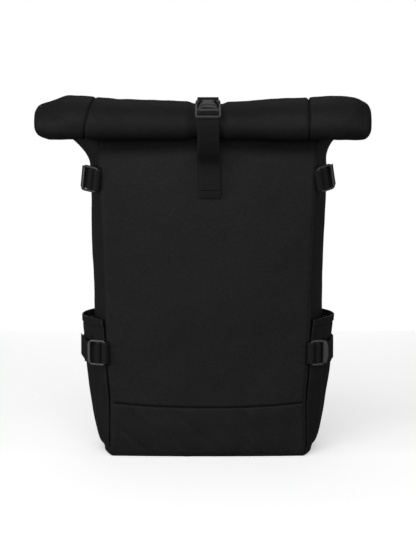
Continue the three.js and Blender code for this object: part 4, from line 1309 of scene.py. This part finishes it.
for side, sign in (("left", -1), ("right", 1)):
    height, depth, spread, width, thick = shoulder_stations.T
    centres = np.stack([sign * spread * shoulder_spread,
                        body_depth / 2 + depth * shoulder_reach, height * shoulder_top], -1)
    stations = np.column_stack([centres, width * shoulder_width, thick * shoulder_thickness])
    cushion = make_cloth(f"shoulder_cushion_{side}", padded_form(stations, (1.0, 0, 0)),
                         f"shoulder_strap_{side}")

    end = centres[-1]
    root = off_skin("back", sign * shoulder_root_share, shoulder_root_height,
                    webbing_seat + 2 * strap_ease)
    down = unit(root - end)
    out = unit(np.cross(down, (sign, 0, 0)))
    out = out if out[1] > 0 else -out
    across = unit(np.cross(out, down))
    turn = frame_at(end + down * 5.5 * mm - out * 0.4 * mm, down, out)
    edge = shoulder_thickness * 0.25 + piece_gap
    make_plastic(f"ladder_lock_shoulder_{side}",
                 placed(turn, lock_form(3 * mm, 7 * mm, 6 * mm)), f"shoulder_lock_{side}")
    loop = [(-6.5 * mm, over + edge), (0, over), *end_loop, (-6.5 * mm, under - edge)]
    make_webbing(f"lock_loop_shoulder_{side}",
                 ribbon_form(in_frame(turn, loop), across, step=0.7 * mm),
                 f"shoulder_loop_{side}")
    threaded = in_frame(turn, threaded_in)
    drop = [mix(root, threaded[0], share) + (0, adjuster_sag * math.sin(math.pi * share), 0)
            for share in (0, 0.12, 0.4, 0.7)]
    tail = in_frame(turn, [(lock_length + mm + strap_tail * share, under + 10 * mm * share ** 1.5)
                           for share in (0.3, 0.65, 1)])
    make_webbing(f"adjuster_webbing_{side}",
                 ribbon_form(np.concatenate([drop, threaded, tail]), across, step=1.0 * mm),
                 f"shoulder_webbing_{side}")


# The grab handle is a loop of narrower and thicker webbing, sewn flat at both ends across the
# top of the back.
handle_half = 46 * mm
handle_rise = 24 * mm
handle_height = neck_height - 49 * mm
handle_webbing = 20 * mm
handle_foot = 9 * mm
seat_height = handle_height - handle_webbing / 2


def handle_seat(x):
    back_half = skin("back", 1.0, seat_height)[0]
    return off_skin("back", x / back_half, seat_height, webbing_seat * 2)[1]


arch_half = handle_half - handle_foot
arch_x = np.array([-1, -0.86, -0.6, -0.3, 0, 0.3, 0.6, 0.86, 1]) * arch_half
arch = [(x, handle_seat(x) + handle_rise * (1 - (x / arch_half) ** 2) ** 0.6, handle_height)
        for x in arch_x]
ends = [(x, handle_seat(x), handle_height) for x in (-handle_half, handle_half)]
make_webbing("handle_webbing",
             ribbon_form([ends[0], *arch, ends[1]], (0, 0, 1), width=handle_webbing,
                         thickness=webbing_thickness * 1.6, step=1.0 * mm), "grab_handle")


# The studio: a square of white paper under the pack that glows a little and throws no light back
# at it, two large soft lights in front, a smaller one on each side, and two strips behind the
# roll for the bright line along its top.
def soft_light(name, place, aim_at, width, height, power):
    data = bpy.data.lights.new(name, "AREA")
    data.shape = "RECTANGLE"
    data.size = width
    data.size_y = height
    data.energy = power
    light = bpy.data.objects.new(name, data)
    light.location = place
    light.rotation_euler = (Vector(aim_at) - Vector(place)).to_track_quat("-Z", "Y").to_euler()
    bpy.context.scene.collection.objects.link(light)


material, strand, shader = start_finish("white_paper", specular=0.1)
fibre = strand.node("TexCoord", output=3).noise(60.0, 3.0)
end_finish(shader, fibre.tint((0.90, 0.90, 0.90), (0.93, 0.93, 0.93)), 0.9 + fibre * 0.05,
           fibre, 0.1 * mm)
shader.inputs["Emission Color"].default_value = (1, 1, 1, 1)
shader.inputs["Emission Strength"].default_value = 0.48
paper = bpy.data.meshes.new("paper_floor")
paper_half = 1.3
paper.from_pydata([(-paper_half, -paper_half, 0), (paper_half, -paper_half, 0),
                   (paper_half, paper_half, 0), (-paper_half, paper_half, 0)], [], [(0, 1, 2, 3)])
paper.materials.append(material)
floor = bpy.data.objects.new("paper_floor", paper)
floor.visible_diffuse = False
floor.visible_glossy = False
bpy.context.scene.collection.objects.link(floor)

soft_light("high_softbox", (-0.3, -1.9, 2.0), (0, 0, 0.3), 1.8, 1.2, 30)
soft_light("front_softbox", (-0.4, -2.8, 0.6), (0, 0, 0.22), 1.6, 0.9, 23)
soft_light("top_strip", (0.0, 1.0, 1.9), (0, -0.06, 0.42), 1.0, 0.3, 2.5)
soft_light("rear_strip", (0.0, 1.9, 0.7), (0, 0, 0.45), 1.6, 0.4, 6)
soft_light("left_strip", (-2.4, -1.1, 0.4), (0, 0, 0.2), 0.8, 0.8, 26)
soft_light("right_strip", (2.4, -1.1, 0.4), (0, 0, 0.2), 0.8, 0.8, 13)

# The room is white to the eye and dim as a light, so that black cloth keeps its depth.
room = bpy.data.worlds.new("white_room")
room.use_nodes = True
room_strand = Strand(room.node_tree)
seen = room_strand.node("LightPath", output=0)
white = room_strand.node("Background", None, {"Strength": 1.0})
dim = room_strand.node("Background", None, {"Strength": 0.08})
for shade in (white, dim):
    shade.socket.node.inputs["Color"].default_value = (1, 1, 1, 1)
both = room_strand.node("MixShader", None, {0: seen, 1: dim, 2: white})
room.node_tree.links.new(both.socket, room.node_tree.nodes["World Output"].inputs["Surface"])
bpy.context.scene.world = room
